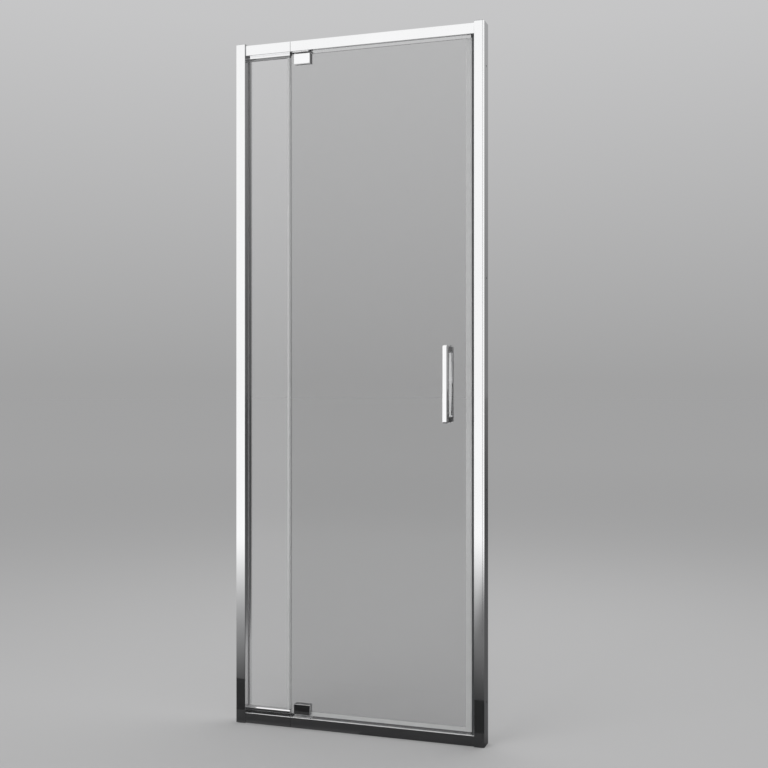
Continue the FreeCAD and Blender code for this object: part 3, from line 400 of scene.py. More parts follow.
def makeMouldedSkin(values):
    # the fine grain of a moulded or extruded plastic, and its slightly uneven colour
    group, given, end = newEffect(
        "mouldedSkin", ["Coordinates", "Grain Scale", "Least Rough", "Most Rough"],
        ["Roughness", "Height", "Tone"])
    grain = noiseOf(group, given["Coordinates"], Scale=given["Grain Scale"],
                    Detail=values["grainDetail"])
    cloud = noiseOf(group, given["Coordinates"], Scale=values["cloudScale"])
    putOut(group, given, end, cloud, Height=grain, Tone=cloud)
    return group


drawnLines = makeDrawnLines(effectValues)
touchedSheen = makeTouchedSheen(effectValues)
mouldedSkin = makeMouldedSkin(effectValues)


def newFinish(name):
    finish = bpy.data.materials.new(name)
    finish.use_nodes = True
    return finish, finish.node_tree, finish.node_tree.nodes["Principled BSDF"]


def useEffect(tree, shader, group, values, **inputs):
    # the effect gives the roughness, and blends the light and the dark tone
    made = tree.nodes.new("ShaderNodeGroup")
    made.node_tree = group
    where = tree.nodes.new("ShaderNodeTexCoord").outputs["Object"]
    tree.links.new(where, made.inputs["Coordinates"])
    made.inputs["Least Rough"].default_value = values["leastRough"]
    made.inputs["Most Rough"].default_value = values["mostRough"]
    for label, value in inputs.items():
        made.inputs[label].default_value = value
    tree.links.new(made.outputs["Roughness"], shader.inputs["Roughness"])
    tone = blendTones(tree, made.outputs["Tone"], values["light"], values["dark"])
    tree.links.new(tone, shader.inputs["Base Color"])
    return made


def bumpFrom(tree, shader, height, strength, depth):
    bump = tree.nodes.new("ShaderNodeBump")
    bump.inputs["Strength"].default_value = strength
    bump.inputs["Distance"].default_value = depth
    tree.links.new(height, bump.inputs["Height"])
    tree.links.new(bump.outputs["Normal"], shader.inputs["Normal"])


profileValues = {
    "light": (0.93, 0.93, 0.935, 1),
    "dark": (0.87, 0.875, 0.88, 1),
    "leastRough": 0.05,
    "mostRough": 0.17,
    "lineStrength": 0.12,
    "lineDepth": 0.03 * mm,
}
darkBarValues = {
    "light": (0.13, 0.131, 0.134, 1),
    "dark": (0.09, 0.091, 0.094, 1),
    "leastRough": 0.38,
    "mostRough": 0.55,
    "lineStrength": 0.12,
    "lineDepth": 0.04 * mm,
}
# how much the lines are drawn together along each axis: little along the bar
stretches = {"uprightBar": (260, 260, 1.5), "levelBar": (1.5, 260, 260), "joiner": (3, 400, 400)}


def drawnBar(name, stretch, values):
    finish, tree, shader = newFinish(name)
    shader.inputs["Metallic"].default_value = 1.0
    lines = useEffect(tree, shader, drawnLines, values, Stretch=stretches[stretch])
    bumpFrom(tree, shader, lines.outputs["Height"], values["lineStrength"], values["lineDepth"])
    return finish


metalValues = {
    "chromePlate": {"light": (0.95, 0.95, 0.955, 1), "dark": (0.90, 0.905, 0.91, 1),
                    "patchScale": 22.0, "leastRough": 0.02, "mostRough": 0.08},
    "satinPlate": {"light": (0.96, 0.96, 0.96, 1), "dark": (0.92, 0.92, 0.925, 1),
                   "patchScale": 90.0, "leastRough": 0.34, "mostRough": 0.46},
    "turnedSteel": {"light": (0.72, 0.72, 0.72, 1), "dark": (0.56, 0.56, 0.565, 1),
                    "patchScale": 160.0, "leastRough": 0.16, "mostRough": 0.34},
}


def wipedMetal(name, values):
    finish, tree, shader = newFinish(name)
    shader.inputs["Metallic"].default_value = 1.0
    useEffect(tree, shader, touchedSheen, values, **{"Patch Scale": values["patchScale"]})
    return finish


glassValues = {
    # the door pane's grey is the glass's own tint; the fixed pane's paler tone paints the lighter
    # reflection that lies on it
    "tints": {"doorGlass": (0.77, 0.771, 0.772, 1), "fixedGlass": (0.94, 0.94, 0.942, 1)},
    "rough": 0.0,
    "ior": 1.5,
    "lampShare": 0.9,
}


def letLampsPass(tree, shader, share):
    # shadow rays go mostly through, so the lamps light what is behind the glass
    lightPath = tree.nodes.new("ShaderNodeLightPath")
    solid = tree.nodes.new("ShaderNodeMath")
    solid.operation = "MULTIPLY_ADD"
    solid.inputs[1].default_value = -share
    solid.inputs[2].default_value = 1.0
    tree.links.new(lightPath.outputs["Is Shadow Ray"], solid.inputs[0])
    tree.links.new(solid.outputs[0], shader.inputs["Alpha"])


def clearGlass(name, tint, values):
    finish, tree, shader = newFinish(name)
    shader.inputs["Base Color"].default_value = tint
    shader.inputs["Transmission Weight"].default_value = 1.0
    shader.inputs["IOR"].default_value = values["ior"]
    shader.inputs["Roughness"].default_value = values["rough"]
    letLampsPass(tree, shader, values["lampShare"])
    return finish


vinylValues = {
    "light": (0.90, 0.905, 0.905, 1),
    "dark": (0.80, 0.81, 0.81, 1),
    "leastRough": 0.10,
    "mostRough": 0.20,
    "grainScale": 900.0,
    "clear": 0.30,
    "ior": 1.5,
}


def clearVinyl(values):
    finish, tree, shader = newFinish("clearVinyl")
    shader.inputs["Transmission Weight"].default_value = values["clear"]
    shader.inputs["IOR"].default_value = values["ior"]
    useEffect(tree, shader, mouldedSkin, values, **{"Grain Scale": values["grainScale"]})
    return finish


plasticValues = {
    "darkRubber": {"light": (0.21, 0.211, 0.214, 1), "dark": (0.17, 0.171, 0.174, 1),
                   "leastRough": 0.50, "mostRough": 0.68, "grainDepth": 0.04 * mm},
    "greyRubber": {"light": (0.56, 0.561, 0.565, 1), "dark": (0.48, 0.481, 0.485, 1),
                   "leastRough": 0.50, "mostRough": 0.68, "grainDepth": 0.04 * mm},
    "greyNylon": {"light": (0.42, 0.43, 0.44, 1), "dark": (0.34, 0.35, 0.36, 1),
                  "leastRough": 0.34, "mostRough": 0.48, "grainDepth": 0.03 * mm},
    "silverCap": {"light": (0.70, 0.71, 0.72, 1), "dark": (0.62, 0.63, 0.64, 1),
                  "leastRough": 0.20, "mostRough": 0.32, "grainDepth": 0.01 * mm},
    # near black on the closing strip, which is polished aluminium: painted shade of the deep
    # recess between the jamb and the door
    "strikeGrey": {"light": (0.085, 0.087, 0.09, 1), "dark": (0.060, 0.062, 0.065, 1),
                   "leastRough": 0.24, "mostRough": 0.38, "grainDepth": 0.02 * mm},
    "paleTape": {"light": (0.55, 0.55, 0.55, 1), "dark": (0.46, 0.46, 0.465, 1),
                 "leastRough": 0.40, "mostRough": 0.55, "grainDepth": 0.01 * mm},
    "magnetTape": {"light": (0.055, 0.050, 0.048, 1), "dark": (0.035, 0.032, 0.030, 1),
                   "leastRough": 0.45, "mostRough": 0.60, "grainDepth": 0.02 * mm},
}
plasticGrain = {"scale": 1400.0, "strength": 0.5}


def mouldedPlastic(name, values):
    finish, tree, shader = newFinish(name)
    skin = useEffect(tree, shader, mouldedSkin, values, **{"Grain Scale": plasticGrain["scale"]})
    bumpFrom(tree, shader, skin.outputs["Height"], plasticGrain["strength"],
             values["grainDepth"])
    return finish


finishes = {
    "uprightProfile": drawnBar("uprightProfile", "uprightBar", profileValues),
    "levelProfile": drawnBar("levelProfile", "levelBar", profileValues),
    "darkBar": drawnBar("darkBar", "joiner", darkBarValues),
    "clearVinyl": clearVinyl(vinylValues),
}
for name, values in metalValues.items():
    finishes[name] = wipedMetal(name, values)
for name, tint in glassValues["tints"].items():
    finishes[name] = clearGlass(name, tint, glassValues)
for name, values in plasticValues.items():
    finishes[name] = mouldedPlastic(name, values)
print("finishes made:", len(finishes))


# CAD nodes whose shape is right keep it and take a finish
keptNodes = {
    "darkBar": ["top_rail_joiner", "bottom_rail_joiner"],
    "turnedSteel": ["upper_pivot_pin", "lower_pivot_pin", "handle_studs"],
    "doorGlass": ["door_glass"],
    "fixedGlass": ["fixed_glass"],
    "greyNylon": ["upper_pivot_bush", "lower_pivot_bush"],
    "magnetTape": ["strike_magnet"],
    "paleTape": ["door_magnet"],
}


def dressNodes(table):
    for finish, names in table.items():
        for name in names:
            for place in nodes[name].material_slots:
                place.material = finishes[finish]


dressNodes(keptNodes)


# in place of each of these nodes stands a welded copy with eased edges; eases are in mm, and
# the outer one is for the long edges of the piece's own box
easedPieces = {
    "uprights": {"nodes": ["wall_profile_left", "wall_profile_right", "jamb_left", "jamb_right"],
                 "finish": "uprightProfile", "slot": "polished_profile", "ease": 0.25, "steps": 2},
    "rails": {"nodes": ["top_rail_short", "top_rail_long", "bottom_rail_short",
                        "bottom_rail_long", "head_slot_trim", "sill_slot_trim"],
              "finish": "levelProfile", "slot": "polished_profile", "ease": 0.25,
              "outerEase": 1.3, "steps": 4},
    "glazing channels": {"nodes": ["glazing_channel_top", "glazing_channel_bottom"],
                         "finish": "levelProfile", "slot": "polished_profile", "ease": 0.25,
                         "outerEase": 0.8, "steps": 3},
    # the closing strip's near-black finish is painted shade of its recess behind the jamb; the
    # strip itself is polished aluminium
    "closing strip": {"nodes": ["strike_profile"],
                      "finish": "strikeGrey", "slot": "polished_profile", "ease": 0.3, "steps": 2},
    "hinge blocks": {"nodes": ["upper_hinge_front", "upper_hinge_back", "lower_hinge_front",
                               "lower_hinge_back"],
                     "finish": "chromePlate", "slot": "chrome_plate", "ease": 0.3, "steps": 3},
    "handles": {"nodes": ["handle_outer", "handle_inner"],
                "finish": "chromePlate", "slot": "chrome_plate", "ease": 0.9, "steps": 4},
    "pivot plates": {"nodes": ["upper_pivot_plate", "lower_pivot_plate"],
                     "finish": "satinPlate", "slot": "chrome_plate", "ease": 0.9, "steps": 4},
    "caps": {"nodes": ["jamb_cap_left", "jamb_cap_right"],
             "finish": "silverCap", "slot": "cap_plastic", "ease": 0.4, "steps": 3},
    "hinge pads": {"nodes": ["upper_hinge_gaskets", "lower_hinge_gaskets"],
                   "finish": "darkRubber", "slot": "dark_gasket", "ease": 0.35, "steps": 3},
    "nylon blocks": {"nodes": ["setting_blocks", "upper_pivot_block", "lower_pivot_block"],
                     "finish": "greyNylon", "slot": "grey_nylon", "ease": 0.3, "steps": 2},
}
weldValues = {
    "distance": 0.002 * mm,
    "nearBox": 0.01 * mm,               # an edge this close to the box's side lies on it
    "flatAngle": math.radians(0.6),     # facets closer than this are one flat face
    "sharpAngle": math.radians(32),     # edges steeper than this are eased
    "longEdge": 20 * mm,                # an outer edge longer than this is eased in full
}
bodyOf = {name: body for body, names in frame["record"]["behaviour"]["bodies"].items()
          for name in names}


def camel(name):
    first, *rest = name.split("_")
    return first + "".join(word.capitalize() for word in rest)


def weldedMesh(node, values):
    # the long edges of the piece's own box get a weight, because a bevel can ease them more
    mesh = node.data.copy()
    if "custom_normal" in mesh.attributes:
        mesh.attributes.remove(mesh.attributes["custom_normal"])
    shape = bmesh.new()
    shape.from_mesh(mesh)
    bpy.data.meshes.remove(mesh)
    bmesh.ops.remove_doubles(shape, verts=shape.verts, dist=values["distance"])
    bmesh.ops.dissolve_limit(shape, angle_limit=values["flatAngle"], verts=shape.verts,
                             edges=shape.edges)
    low = [min(spot.co[axis] for spot in shape.verts) for axis in range(3)]
    high = [max(spot.co[axis] for spot in shape.verts) for axis in range(3)]
    weights = shape.edges.layers.float.new("bevel_weight_edge")
    for edge in shape.edges:
        edge.smooth = edge.is_manifold and edge.calc_face_angle(0) < values["sharpAngle"]
        sides = sum(all(abs(spot.co[axis] - limits[axis]) < values["nearBox"]
                        for spot in edge.verts) for limits in (low, high) for axis in range(3))
        edge[weights] = float(sides > 1 and edge.calc_length() > values["longEdge"])
    for face in shape.faces:
        face.smooth = True
    made = bpy.data.meshes.new(camel(node.name))
    shape.to_mesh(made)
    shape.free()
    return made


def settle(piece):
    # turns what the modifiers make into the piece's own plain mesh
    seen = piece.evaluated_get(bpy.context.evaluated_depsgraph_get())
    mesh = bpy.data.meshes.new_from_object(seen)
    mesh.name = piece.name
    piece.modifiers.clear()
    piece.data = mesh


def addPiece(name, mesh, finish):
    piece = bpy.data.objects.new(name, mesh)
    scene.collection.objects.link(piece)
    mesh.materials.clear()
    mesh.materials.append(finishes[finish])
    return piece


def easePiece(name, values):
    piece = addPiece(camel(name), weldedMesh(nodes[name], weldValues), values["finish"])
    if "outerEase" in values:
        rounding = piece.modifiers.new("roundedEdges", "BEVEL")
        rounding.width = values["outerEase"] * mm
        rounding.segments = values["steps"]
        rounding.limit_method = "WEIGHT"
        rounding.use_clamp_overlap = False
        rounding.harden_normals = True
    bevel = piece.modifiers.new("easedEdges", "BEVEL")
    bevel.width = values["ease"] * mm
    bevel.segments = values["steps"]
    bevel.limit_method = "ANGLE"
    bevel.angle_limit = weldValues["sharpAngle"]
    bevel.harden_normals = True
    settle(piece)
    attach(piece, bodyOf[name])
    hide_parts(name)


for label, values in easedPieces.items():
    for name in values["nodes"]:
        easePiece(name, values)
    print(label, "eased:", len(values["nodes"]))


# round screws, washers and sleeves stand where the CAD has each of them
screwValues = {
    # mm; heights are over the seat that the head bears on
    "panHead": {"Rim Radius": 3.6, "Rim Start": 0.0, "Rim Height": 0.9, "Cone Start": 0.85,
                "Cone Height": 0.95, "Cone Low": 3.6, "Cone High": 2.7, "Shank Radius": 1.9,
                "Recess Radius": 1.7, "Recess Width": 0.75, "Recess Depth": 1.1,
                "Seat Depth": 1.8, "Cross": True},
    "sunkHead": {"Rim Radius": 3.75, "Rim Start": -0.25, "Rim Height": 0.2, "Cone Start": -1.9,
                 "Cone Height": 1.7, "Cone Low": 2.0, "Cone High": 3.75, "Shank Radius": 1.9,
                 "Recess Radius": 1.8, "Recess Width": 0.75, "Recess Depth": 1.1,
                 "Seat Depth": 0.0, "Cross": True},
    "sunkSocket": {"Rim Radius": 4.25, "Rim Start": -0.35, "Rim Height": 0.3, "Cone Start": -2.1,
                   "Cone Height": 1.8, "Cone Low": 2.45, "Cone High": 4.25, "Shank Radius": 2.3,
                   "Recess Radius": 1.75, "Recess Width": 0.75, "Recess Depth": 1.5,
                   "Seat Depth": 0.0, "Cross": False},
    "setScrew": {"Rim Radius": 1.85, "Rim Start": -0.9, "Rim Height": 0.6, "Cone Start": -0.35,
                 "Cone Height": 0.35, "Cone Low": 1.85, "Cone High": 1.5, "Shank Radius": 1.84,
                 "Recess Radius": 1.15, "Recess Width": 0.5, "Recess Depth": 1.2,
                 "Seat Depth": 0.0, "Cross": False},
}
# the kind of each group, and the way its heads point; without one they face the doorway
screwGroups = {
    "lock_screws": ("panHead", (0, 1, 0)),
    "pivot_plate_screws": ("sunkHead", None),
    "hinge_screws": ("sunkSocket", (0, 1, 0)),
    "pin_grub_screws": ("setScrew", (0, 1, 0)),
    "handle_grub_screws": ("setScrew", (0, 0, -1)),
    "rail_screws_left": ("panHead", (-1, 0, 0)),
    "rail_screws_right": ("panHead", (1, 0, 0)),
    "joiner_screws": ("panHead", None),
}
ringValues = {
    # mm; a ring's bore, the rounding of its rims, and the way that its axis runs
    "handle_washers": {"bore": 3.3, "rounding": 0.15, "axis": (0, 1, 0)},
    "handle_sleeves": {"bore": 3.1, "rounding": 0.2, "axis": (0, 1, 0)},
    "hinge_sleeves": {"bore": 2.6, "rounding": 0.2, "axis": (0, 1, 0)},
    "thrust_washer": {"bore": 3.1, "rounding": 0.2, "axis": (0, 0, 1)},
}
roundSides = 40
socketSides = 6
ringSteps = 3            # rounding of a ring's rims
turnSeed = 7             # for how far each screw was turned home


def newTree(name, inputs):
    tree = bpy.data.node_groups.new(name, "GeometryNodeTree")
    tree.interface.new_socket("Geometry", in_out="INPUT", socket_type="NodeSocketGeometry")
    for label, kind in inputs:
        tree.interface.new_socket(label, in_out="INPUT", socket_type="NodeSocket" + kind)
    tree.interface.new_socket("Geometry", in_out="OUTPUT", socket_type="NodeSocketGeometry")
    return tree, tree.nodes.new("NodeGroupInput").outputs, tree.nodes.new("NodeGroupOutput")


def nodeWith(tree, kind, links, **settings):
    # a node with its settings; each named input takes another node's output, or a plain value
    made = tree.nodes.new(kind)
    for setting, value in settings.items():
        setattr(made, setting, value)
    for label, value in links.items():
        if isinstance(value, bpy.types.NodeSocket):
            tree.links.new(value, made.inputs[label])
        else:
            made.inputs[label].default_value = value
    return made


def times(tree, value, factor, added=0.0):
    return nodeWith(tree, "ShaderNodeMath", {0: value, 1: factor, 2: added},
                    operation="MULTIPLY_ADD").outputs[0]


def raised(tree, mesh, height):
    place = nodeWith(tree, "ShaderNodeCombineXYZ", {"Z": height}).outputs[0]
    return nodeWith(tree, "GeometryNodeTransform",
                    {"Geometry": mesh, "Translation": place}).outputs[0]


def upright(tree, sides, radius, height, start, share=0.5):
    # a cylinder from the start height upwards, or downwards with a share of -0.5
    made = nodeWith(tree, "GeometryNodeMeshCylinder",
                    {"Vertices": sides, "Radius": radius, "Depth": height}).outputs["Mesh"]
    return raised(tree, made, times(tree, height, share, start))


def crossBar(tree, given, along, across):
    size = nodeWith(tree, "ShaderNodeCombineXYZ", {
        along: times(tree, given["Recess Radius"], 2.0), across: given["Recess Width"],
        "Z": times(tree, given["Recess Depth"], 2.0)}).outputs[0]
    made = nodeWith(tree, "GeometryNodeMeshCube", {"Size": size}).outputs["Mesh"]
    return raised(tree, made, given["Top"])


def booleanOf(tree, operation, first, others):
    made = nodeWith(tree, "GeometryNodeMeshBoolean", {}, operation=operation, solver="EXACT")
    tree.links.new(first, made.inputs["Mesh 1" if operation == "DIFFERENCE" else "Mesh 2"])
    for other in others:
        tree.links.new(other, made.inputs["Mesh 2"])
    return made.outputs["Mesh"]


def softShaded(tree, mesh):
    # smooth faces that stay sharp at the steep edges
    angle = nodeWith(tree, "GeometryNodeInputMeshEdgeAngle", {}).outputs["Unsigned Angle"]
    gentle = nodeWith(tree, "FunctionNodeCompare", {"A": angle, "B": weldValues["sharpAngle"]},
                      operation="LESS_THAN").outputs["Result"]
    faces = nodeWith(tree, "GeometryNodeSetShadeSmooth", {0: mesh}).outputs[0]
    return nodeWith(tree, "GeometryNodeSetShadeSmooth", {0: faces, "Shade Smooth": gentle},
                    domain="EDGE").outputs[0]


def standOnPoints(tree, given, last, piece, spin):
    # one copy on each point, its axis along the way that the point holds
    way = nodeWith(tree, "GeometryNodeInputNamedAttribute", {"Name": "way"},
                   data_type="FLOAT_VECTOR").outputs["Attribute"]
    turned = nodeWith(tree, "FunctionNodeAlignRotationToVector", {"Vector": way},
                      axis="Z").outputs["Rotation"]
    if spin:
        # inputs 2 and 3 are the least and the most, up to half a turn
        chance = nodeWith(tree, "FunctionNodeRandomValue", {
            "Seed": given["Seed"], 2: 0.0, 3: math.pi}, data_type="FLOAT").outputs[1]
        own = nodeWith(tree, "ShaderNodeCombineXYZ", {"Z": chance}).outputs[0]
        own = nodeWith(tree, "FunctionNodeEulerToRotation", {"Euler": own}).outputs["Rotation"]
        turned = nodeWith(tree, "FunctionNodeRotateRotation", {
            "Rotation": turned, "Rotate By": own}, rotation_space="LOCAL").outputs["Rotation"]
    row = nodeWith(tree, "GeometryNodeInstanceOnPoints", {
        "Points": given["Geometry"], "Instance": piece, "Rotation": turned}).outputs["Instances"]
    real = nodeWith(tree, "GeometryNodeRealizeInstances", {"Geometry": row}).outputs["Geometry"]
    coated = nodeWith(tree, "GeometryNodeSetMaterial", {
        "Geometry": real, "Material": given["Finish"]}).outputs["Geometry"]
    tree.links.new(coated, last.inputs["Geometry"])


def makeScrewTree():
    lengths = [label for label in screwValues["panHead"] if label not in ("Seat Depth", "Cross")]
    tree, given, last = newTree("screwRow", [(label, "Float") for label in lengths] + [
        ("Shank Length", "Float"), ("Top", "Float"), ("Cross", "Bool"), ("Seed", "Int"),
        ("Finish", "Material")])
    rim = upright(tree, roundSides, given["Rim Radius"], given["Rim Height"], given["Rim Start"])
    cone = nodeWith(tree, "GeometryNodeMeshCone", {
        "Vertices": roundSides, "Radius Top": given["Cone High"],
        "Radius Bottom": given["Cone Low"], "Depth": given["Cone Height"]}).outputs["Mesh"]
    cone = raised(tree, cone, given["Cone Start"])
    shank = upright(tree, roundSides, given["Shank Radius"], given["Shank Length"],
                    given["Rim Start"], -0.5)
    screw = booleanOf(tree, "UNION", rim, [cone, shank])
    socket = nodeWith(tree, "GeometryNodeMeshCylinder", {
        "Vertices": socketSides, "Radius": given["Recess Radius"],
        "Depth": times(tree, given["Recess Depth"], 2.0)}).outputs["Mesh"]
    bars = [crossBar(tree, given, along, across) for along, across in (("X", "Y"), ("Y", "X"))]
    recess = nodeWith(tree, "GeometryNodeSwitch", {
        "Switch": given["Cross"], "False": raised(tree, socket, given["Top"]),
        "True": booleanOf(tree, "UNION", bars[0], bars[1:])}, input_type="GEOMETRY").outputs[0]
    screw = booleanOf(tree, "DIFFERENCE", screw, [recess])
    standOnPoints(tree, given, last, softShaded(tree, screw), True)
    return tree


def makeRingTree():
    # the section of the ring's wall, an oblong with rounded corners, goes round a circle
    tree, given, last = newTree("ringRow", [
        ("Outer Radius", "Float"), ("Bore Radius", "Float"), ("Height", "Float"),
        ("Rounding", "Float"), ("Finish", "Material")])
    wall = nodeWith(tree, "ShaderNodeMath", {
        0: given["Outer Radius"], 1: given["Bore Radius"]}, operation="SUBTRACT").outputs[0]
    middle = nodeWith(tree, "ShaderNodeMath", {
        0: given["Outer Radius"], 1: given["Bore Radius"]}, operation="ADD").outputs[0]
    section = nodeWith(tree, "GeometryNodeCurvePrimitiveQuadrilateral", {
        "Width": wall, "Height": given["Height"]}).outputs["Curve"]
    section = nodeWith(tree, "GeometryNodeFilletCurve", {
        "Curve": section, "Radius": given["Rounding"], "Count": ringSteps}, mode="POLY").outputs[0]
    path = nodeWith(tree, "GeometryNodeCurvePrimitiveCircle", {
        "Resolution": roundSides, "Radius": times(tree, middle, 0.5)}).outputs["Curve"]
    ring = nodeWith(tree, "GeometryNodeCurveToMesh", {
        "Curve": path, "Profile Curve": section}).outputs["Mesh"]
    standOnPoints(tree, given, last, softShaded(tree, ring), False)
    return tree


def looseParts(node):
    # the boxes of the separate solids of a node
    shape = bmesh.new()
    shape.from_mesh(node.data)
    bmesh.ops.remove_doubles(shape, verts=shape.verts, dist=weldValues["distance"])
    left = set(shape.verts)
    boxes = []
    while left:
        reached = [left.pop()]
        for spot in reached:
            for edge in spot.link_edges:
                other = edge.other_vert(spot)
                if other in left:
                    left.remove(other)
                    reached.append(other)
        places = [spot.co for spot in reached]
        boxes.append((Vector(map(min, zip(*places))), Vector(map(max, zip(*places)))))
    shape.free()
    return sorted(boxes, key=lambda box: [round(value, 4) for value in box[0]])


def setInputs(modifier, values):
    for item in modifier.node_group.interface.items_tree:
        if item.item_type == "SOCKET" and item.in_out == "INPUT" and item.name in values:
            modifier[item.identifier] = values[item.name]


def rowMesh(name, places, ways):
    mesh = bpy.data.meshes.new(camel(name))
    mesh.from_pydata([tuple(place) for place in places], [], [])
    held = mesh.attributes.new("way", "FLOAT_VECTOR", "POINT")
    for point, way in zip(held.data, ways):
        point.vector = way
    return mesh


def grownPiece(name, mesh, tree, values):
    piece = bpy.data.objects.new(camel(name), mesh)
    scene.collection.objects.link(piece)
    modifier = piece.modifiers.new("grown", "NODES")
    modifier.node_group = tree
    setInputs(modifier, values)
    settle(piece)
    # the joined parts leave empty slots, and a filled section may hold turned slivers
    piece.data.materials.clear()
    piece.data.materials.append(values["Finish"])
    shape = bmesh.new()
    shape.from_mesh(piece.data)
    bmesh.ops.recalc_face_normals(shape, faces=shape.faces)
    for face in shape.faces:
        face.material_index = 0
    shape.to_mesh(piece.data)
    shape.free()
    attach(piece, bodyOf[name])
    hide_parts(name)


def screwPiece(name, tree, kind, way):
    sizes = screwValues[kind]
    seatDepth = sizes["Seat Depth"] * mm
    top = max(sizes["Rim Start"] + sizes["Rim Height"], sizes["Cone Start"] + sizes["Cone Height"])
    places = []
    ways = []
    # all the screws of a group have one length
    for low, high in looseParts(nodes[name]):
        middle = (low + high) / 2
        toDoorway = (0, 0, -1) if middle.z > cadMiddle.z else (0, 0, 1)
        up = Vector(way or toDoorway)
        length = abs((high - low).dot(up))
        places.append(middle + up * (length / 2 - seatDepth))
        ways.append(up)
    values = {label: size * mm for label, size in sizes.items() if label != "Cross"}
    values.update({"Cross": sizes["Cross"], "Top": top * mm, "Seed": turnSeed,
                   "Shank Length": length - seatDepth + sizes["Rim Start"] * mm,
                   "Finish": finishes["turnedSteel"]})
    grownPiece(name, rowMesh(name, places, ways), tree, values)


def ringPiece(name, tree, sizes):
    axis = Vector(sizes["axis"])
    boxes = looseParts(nodes[name])
    low, high = boxes[0]
    height = (high - low).dot(axis)
    # the CAD piece has eight flat sides, and its corners lie on the round one
    outer = max(high - low) / 2 / math.cos(math.pi / 8)
    places = [(low + high) / 2 for low, high in boxes]
    values = {"Outer Radius": outer, "Bore Radius": sizes["bore"] * mm, "Height": height,
              "Rounding": sizes["rounding"] * mm, "Finish": finishes["greyNylon"]}
    mesh = rowMesh(name, places, [axis] * len(places))
    grownPiece(name, mesh, tree, values)


cadMiddle = (Vector(cadBounds[0]) + Vector(cadBounds[1])) / 2
screwTree = makeScrewTree()
for name, (kind, way) in screwGroups.items():
    screwPiece(name, screwTree, kind, way)
ringTree = makeRingTree()
for name, sizes in ringValues.items():
    ringPiece(name, ringTree, sizes)
print("screws and rings fitted:", len(screwGroups) + len(ringValues))


# seals and gaskets: a section with rounded corners, drawn out along its piece
stripValues = {
    # mm; walls of the sections, and where their legs and webs stand
    "fixed_glass_seal": {"wall": 0.8, "inner": 3.1, "fin": 2.5, "finHalf": 0.5, "rounding": 0.35},
    "door_edge_seal": {"wall": 1.2, "inner": 3.1, "box": 7.7, "rounding": 0.5},
    "door_bottom_seal": {"wall": 1.2, "inner": 3.1, "blade": 3.2, "rounding": 0.55},
}
gasketValues = {
    "lipStart": 1.2,         # mm from the end that shows to the groove that parts the lip
    "groove": 0.8,
    "grooveDepth": 0.5,
    "rounding": 0.5,
}
stripSteps = 4           # rounding of a section's corners
uprightTurn = (0.0, 0.0, 0.0)
levelTurn = (math.pi / 2, 0.0, math.pi / 2)      # section across the glass, drawn out along X


def makeStripTree():
    tree, given, last = newTree("drawnStrip", [
        ("Start", "Float"), ("Length", "Float"), ("Rounding", "Float"), ("Turn", "Vector"),
        ("Finish", "Material")])
    outline = nodeWith(tree, "GeometryNodeMeshToCurve", {"Mesh": given["Geometry"]}).outputs[0]
    outline = nodeWith(tree, "GeometryNodeFilletCurve", {
        "Curve": outline, "Radius": given["Rounding"], "Count": stripSteps, "Limit Radius": True},
        mode="POLY").outputs[0]
    face = nodeWith(tree, "GeometryNodeFillCurve", {"Curve": outline},
                    mode="TRIANGLES").outputs["Mesh"]
    upward = nodeWith(tree, "ShaderNodeSeparateXYZ", {
        0: nodeWith(tree, "GeometryNodeInputNormal", {}).outputs["Normal"]}).outputs["Z"]
    downward = nodeWith(tree, "FunctionNodeCompare", {"A": upward, "B": 0.0},
                        operation="LESS_THAN").outputs["Result"]
    face = nodeWith(tree, "GeometryNodeFlipFaces", {
        "Mesh": face, "Selection": downward}).outputs[0]
    # the offset is linked, because without a link it follows the normals
    upwards = nodeWith(tree, "ShaderNodeCombineXYZ", {"Z": 1.0}).outputs[0]
    drawn = nodeWith(tree, "GeometryNodeExtrudeMesh", {
        "Mesh": face, "Offset": upwards, "Offset Scale": given["Length"],
        "Individual": False}, mode="FACES").outputs["Mesh"]
    end = nodeWith(tree, "GeometryNodeFlipFaces", {"Mesh": face}).outputs[0]
    both = tree.nodes.new("GeometryNodeJoinGeometry")
    tree.links.new(drawn, both.inputs[0])
    tree.links.new(end, both.inputs[0])
    whole = nodeWith(tree, "GeometryNodeMergeByDistance", {
        "Geometry": both.outputs[0], "Distance": weldValues["distance"]}).outputs[0]
    placed = nodeWith(tree, "GeometryNodeTransform", {
        "Geometry": raised(tree, whole, given["Start"]), "Rotation": given["Turn"]}).outputs[0]
    real = nodeWith(tree, "GeometryNodeRealizeInstances", {
        "Geometry": softShaded(tree, placed)}).outputs[0]
    coated = nodeWith(tree, "GeometryNodeSetMaterial", {
        "Geometry": real, "Material": given["Finish"]}).outputs[0]
    tree.links.new(coated, last.inputs["Geometry"])
    return tree


def outlineMesh(name, loops):
    points = []
    edges = []
    for loop in loops:
        first = len(points)
        points += [(across, up, 0.0) for across, up in loop]
        edges += [(first + index, first + (index + 1) % len(loop)) for index in range(len(loop))]
    mesh = bpy.data.meshes.new(camel(name))
    mesh.from_pydata(points, edges, [])
    return mesh


def nodeBox(name):
    boxes = looseParts(nodes[name])
    return (Vector(map(min, zip(*[low for low, high in boxes]))),
            Vector(map(max, zip(*[high for low, high in boxes]))))


def forkOutline(back, web, wall, inner):
    # two legs from the back to the web, on both sides of the glass; the web's far side is open
    outer = inner + wall
    return ([(web, outer), (back, outer), (back, inner), (web - wall, inner),
             (web - wall, -inner), (back, -inner), (back, -outer), (web, -outer)])


def fixedSealOutline(low, high, sizes):
    wall, inner, half = (sizes[label] * mm for label in ("wall", "inner", "finHalf"))
    web = high.x - sizes["fin"] * mm
    return [forkOutline(low.x, web, wall, inner) + [
        (web, -half), (high.x, -half), (high.x, half), (web, half)]]


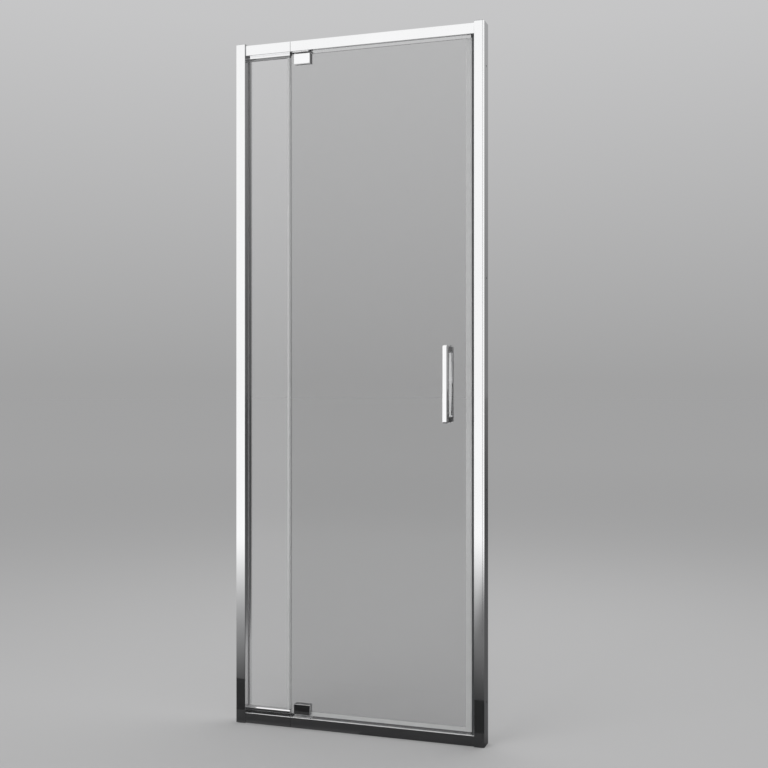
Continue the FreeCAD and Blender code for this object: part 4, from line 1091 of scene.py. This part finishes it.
def edgeSealOutline(low, high, sizes):
    # the box beyond the web holds the magnet
    wall, inner, box = (sizes[label] * mm for label in ("wall", "inner", "box"))
    web = high.x - box
    side = high.y
    fork = forkOutline(low.x, web, wall, inner)
    around = [(web, -side), (high.x, -side), (high.x, side), (web, side)]
    hollow = [(web + wall, wall - side), (high.x - wall, wall - side),
              (high.x - wall, side - wall), (web + wall, side - wall)]
    return [fork + around, hollow]


def bottomSealOutline(low, high, sizes):
    # the front leg runs on below the web as a blade
    wall, inner, blade = (sizes[label] * mm for label in ("wall", "inner", "blade"))
    outer = inner + wall
    web = low.z + blade
    return [[(-outer, low.z), (-inner, low.z), (-inner, web), (outer, web), (outer, high.z),
             (inner, high.z), (inner, web + wall), (-inner, web + wall), (-inner, high.z),
             (-outer, high.z)]]


def padOutline(hidden, shown, near, far, sizes):
    # from the hidden end to the one that shows, with the flat side near the glass
    way = 1 if shown > hidden else -1
    side = 1 if far > near else -1
    lip = shown - way * sizes["lipStart"] * mm
    middle = lip - way * sizes["groove"] * mm / 2
    foot = lip - way * sizes["groove"] * mm
    deep = far - side * sizes["grooveDepth"] * mm
    return [(hidden, near), (shown, near), (shown, far), (lip, far), (middle, deep), (foot, far),
            (hidden, far)]


def stripPiece(name, tree, loops, span, turn, rounding, finish):
    values = {"Start": span[0], "Length": span[1] - span[0], "Rounding": rounding * mm,
              "Turn": turn, "Finish": finishes[finish]}
    grownPiece(name, outlineMesh(name, loops), tree, values)


def fitSeals(tree, table):
    outlines = {"fixed_glass_seal": fixedSealOutline, "door_edge_seal": edgeSealOutline,
                "door_bottom_seal": bottomSealOutline}
    for name, sizes in table.items():
        low, high = nodeBox(name)
        level = name == "door_bottom_seal"
        span = (low.x, high.x) if level else (low.z, high.z)
        stripPiece(name, tree, outlines[name](low, high, sizes), span,
                   levelTurn if level else uprightTurn, sizes["rounding"], "clearVinyl")


def fitGaskets(tree, sizes):
    for name in ("jamb_gaskets", "top_gaskets", "bottom_gaskets"):
        loops = []
        for low, high in looseParts(nodes[name]):
            near, far = sorted((low.y, high.y), key=abs)
            if name == "jamb_gaskets":
                loops.append(padOutline(low.x, high.x, near, far, sizes))
                span = (low.z, high.z)
            else:
                ends = (high.z, low.z) if name == "top_gaskets" else (low.z, high.z)
                loops.append([(across, up) for up, across in padOutline(*ends, near, far, sizes)])
                span = (low.x, high.x)
        turn = uprightTurn if name == "jamb_gaskets" else levelTurn
        stripPiece(name, tree, loops, span, turn, sizes["rounding"], "greyRubber")


stripTree = makeStripTree()
fitSeals(stripTree, stripValues)
fitGaskets(stripTree, gasketValues)
print("seals and gaskets drawn")
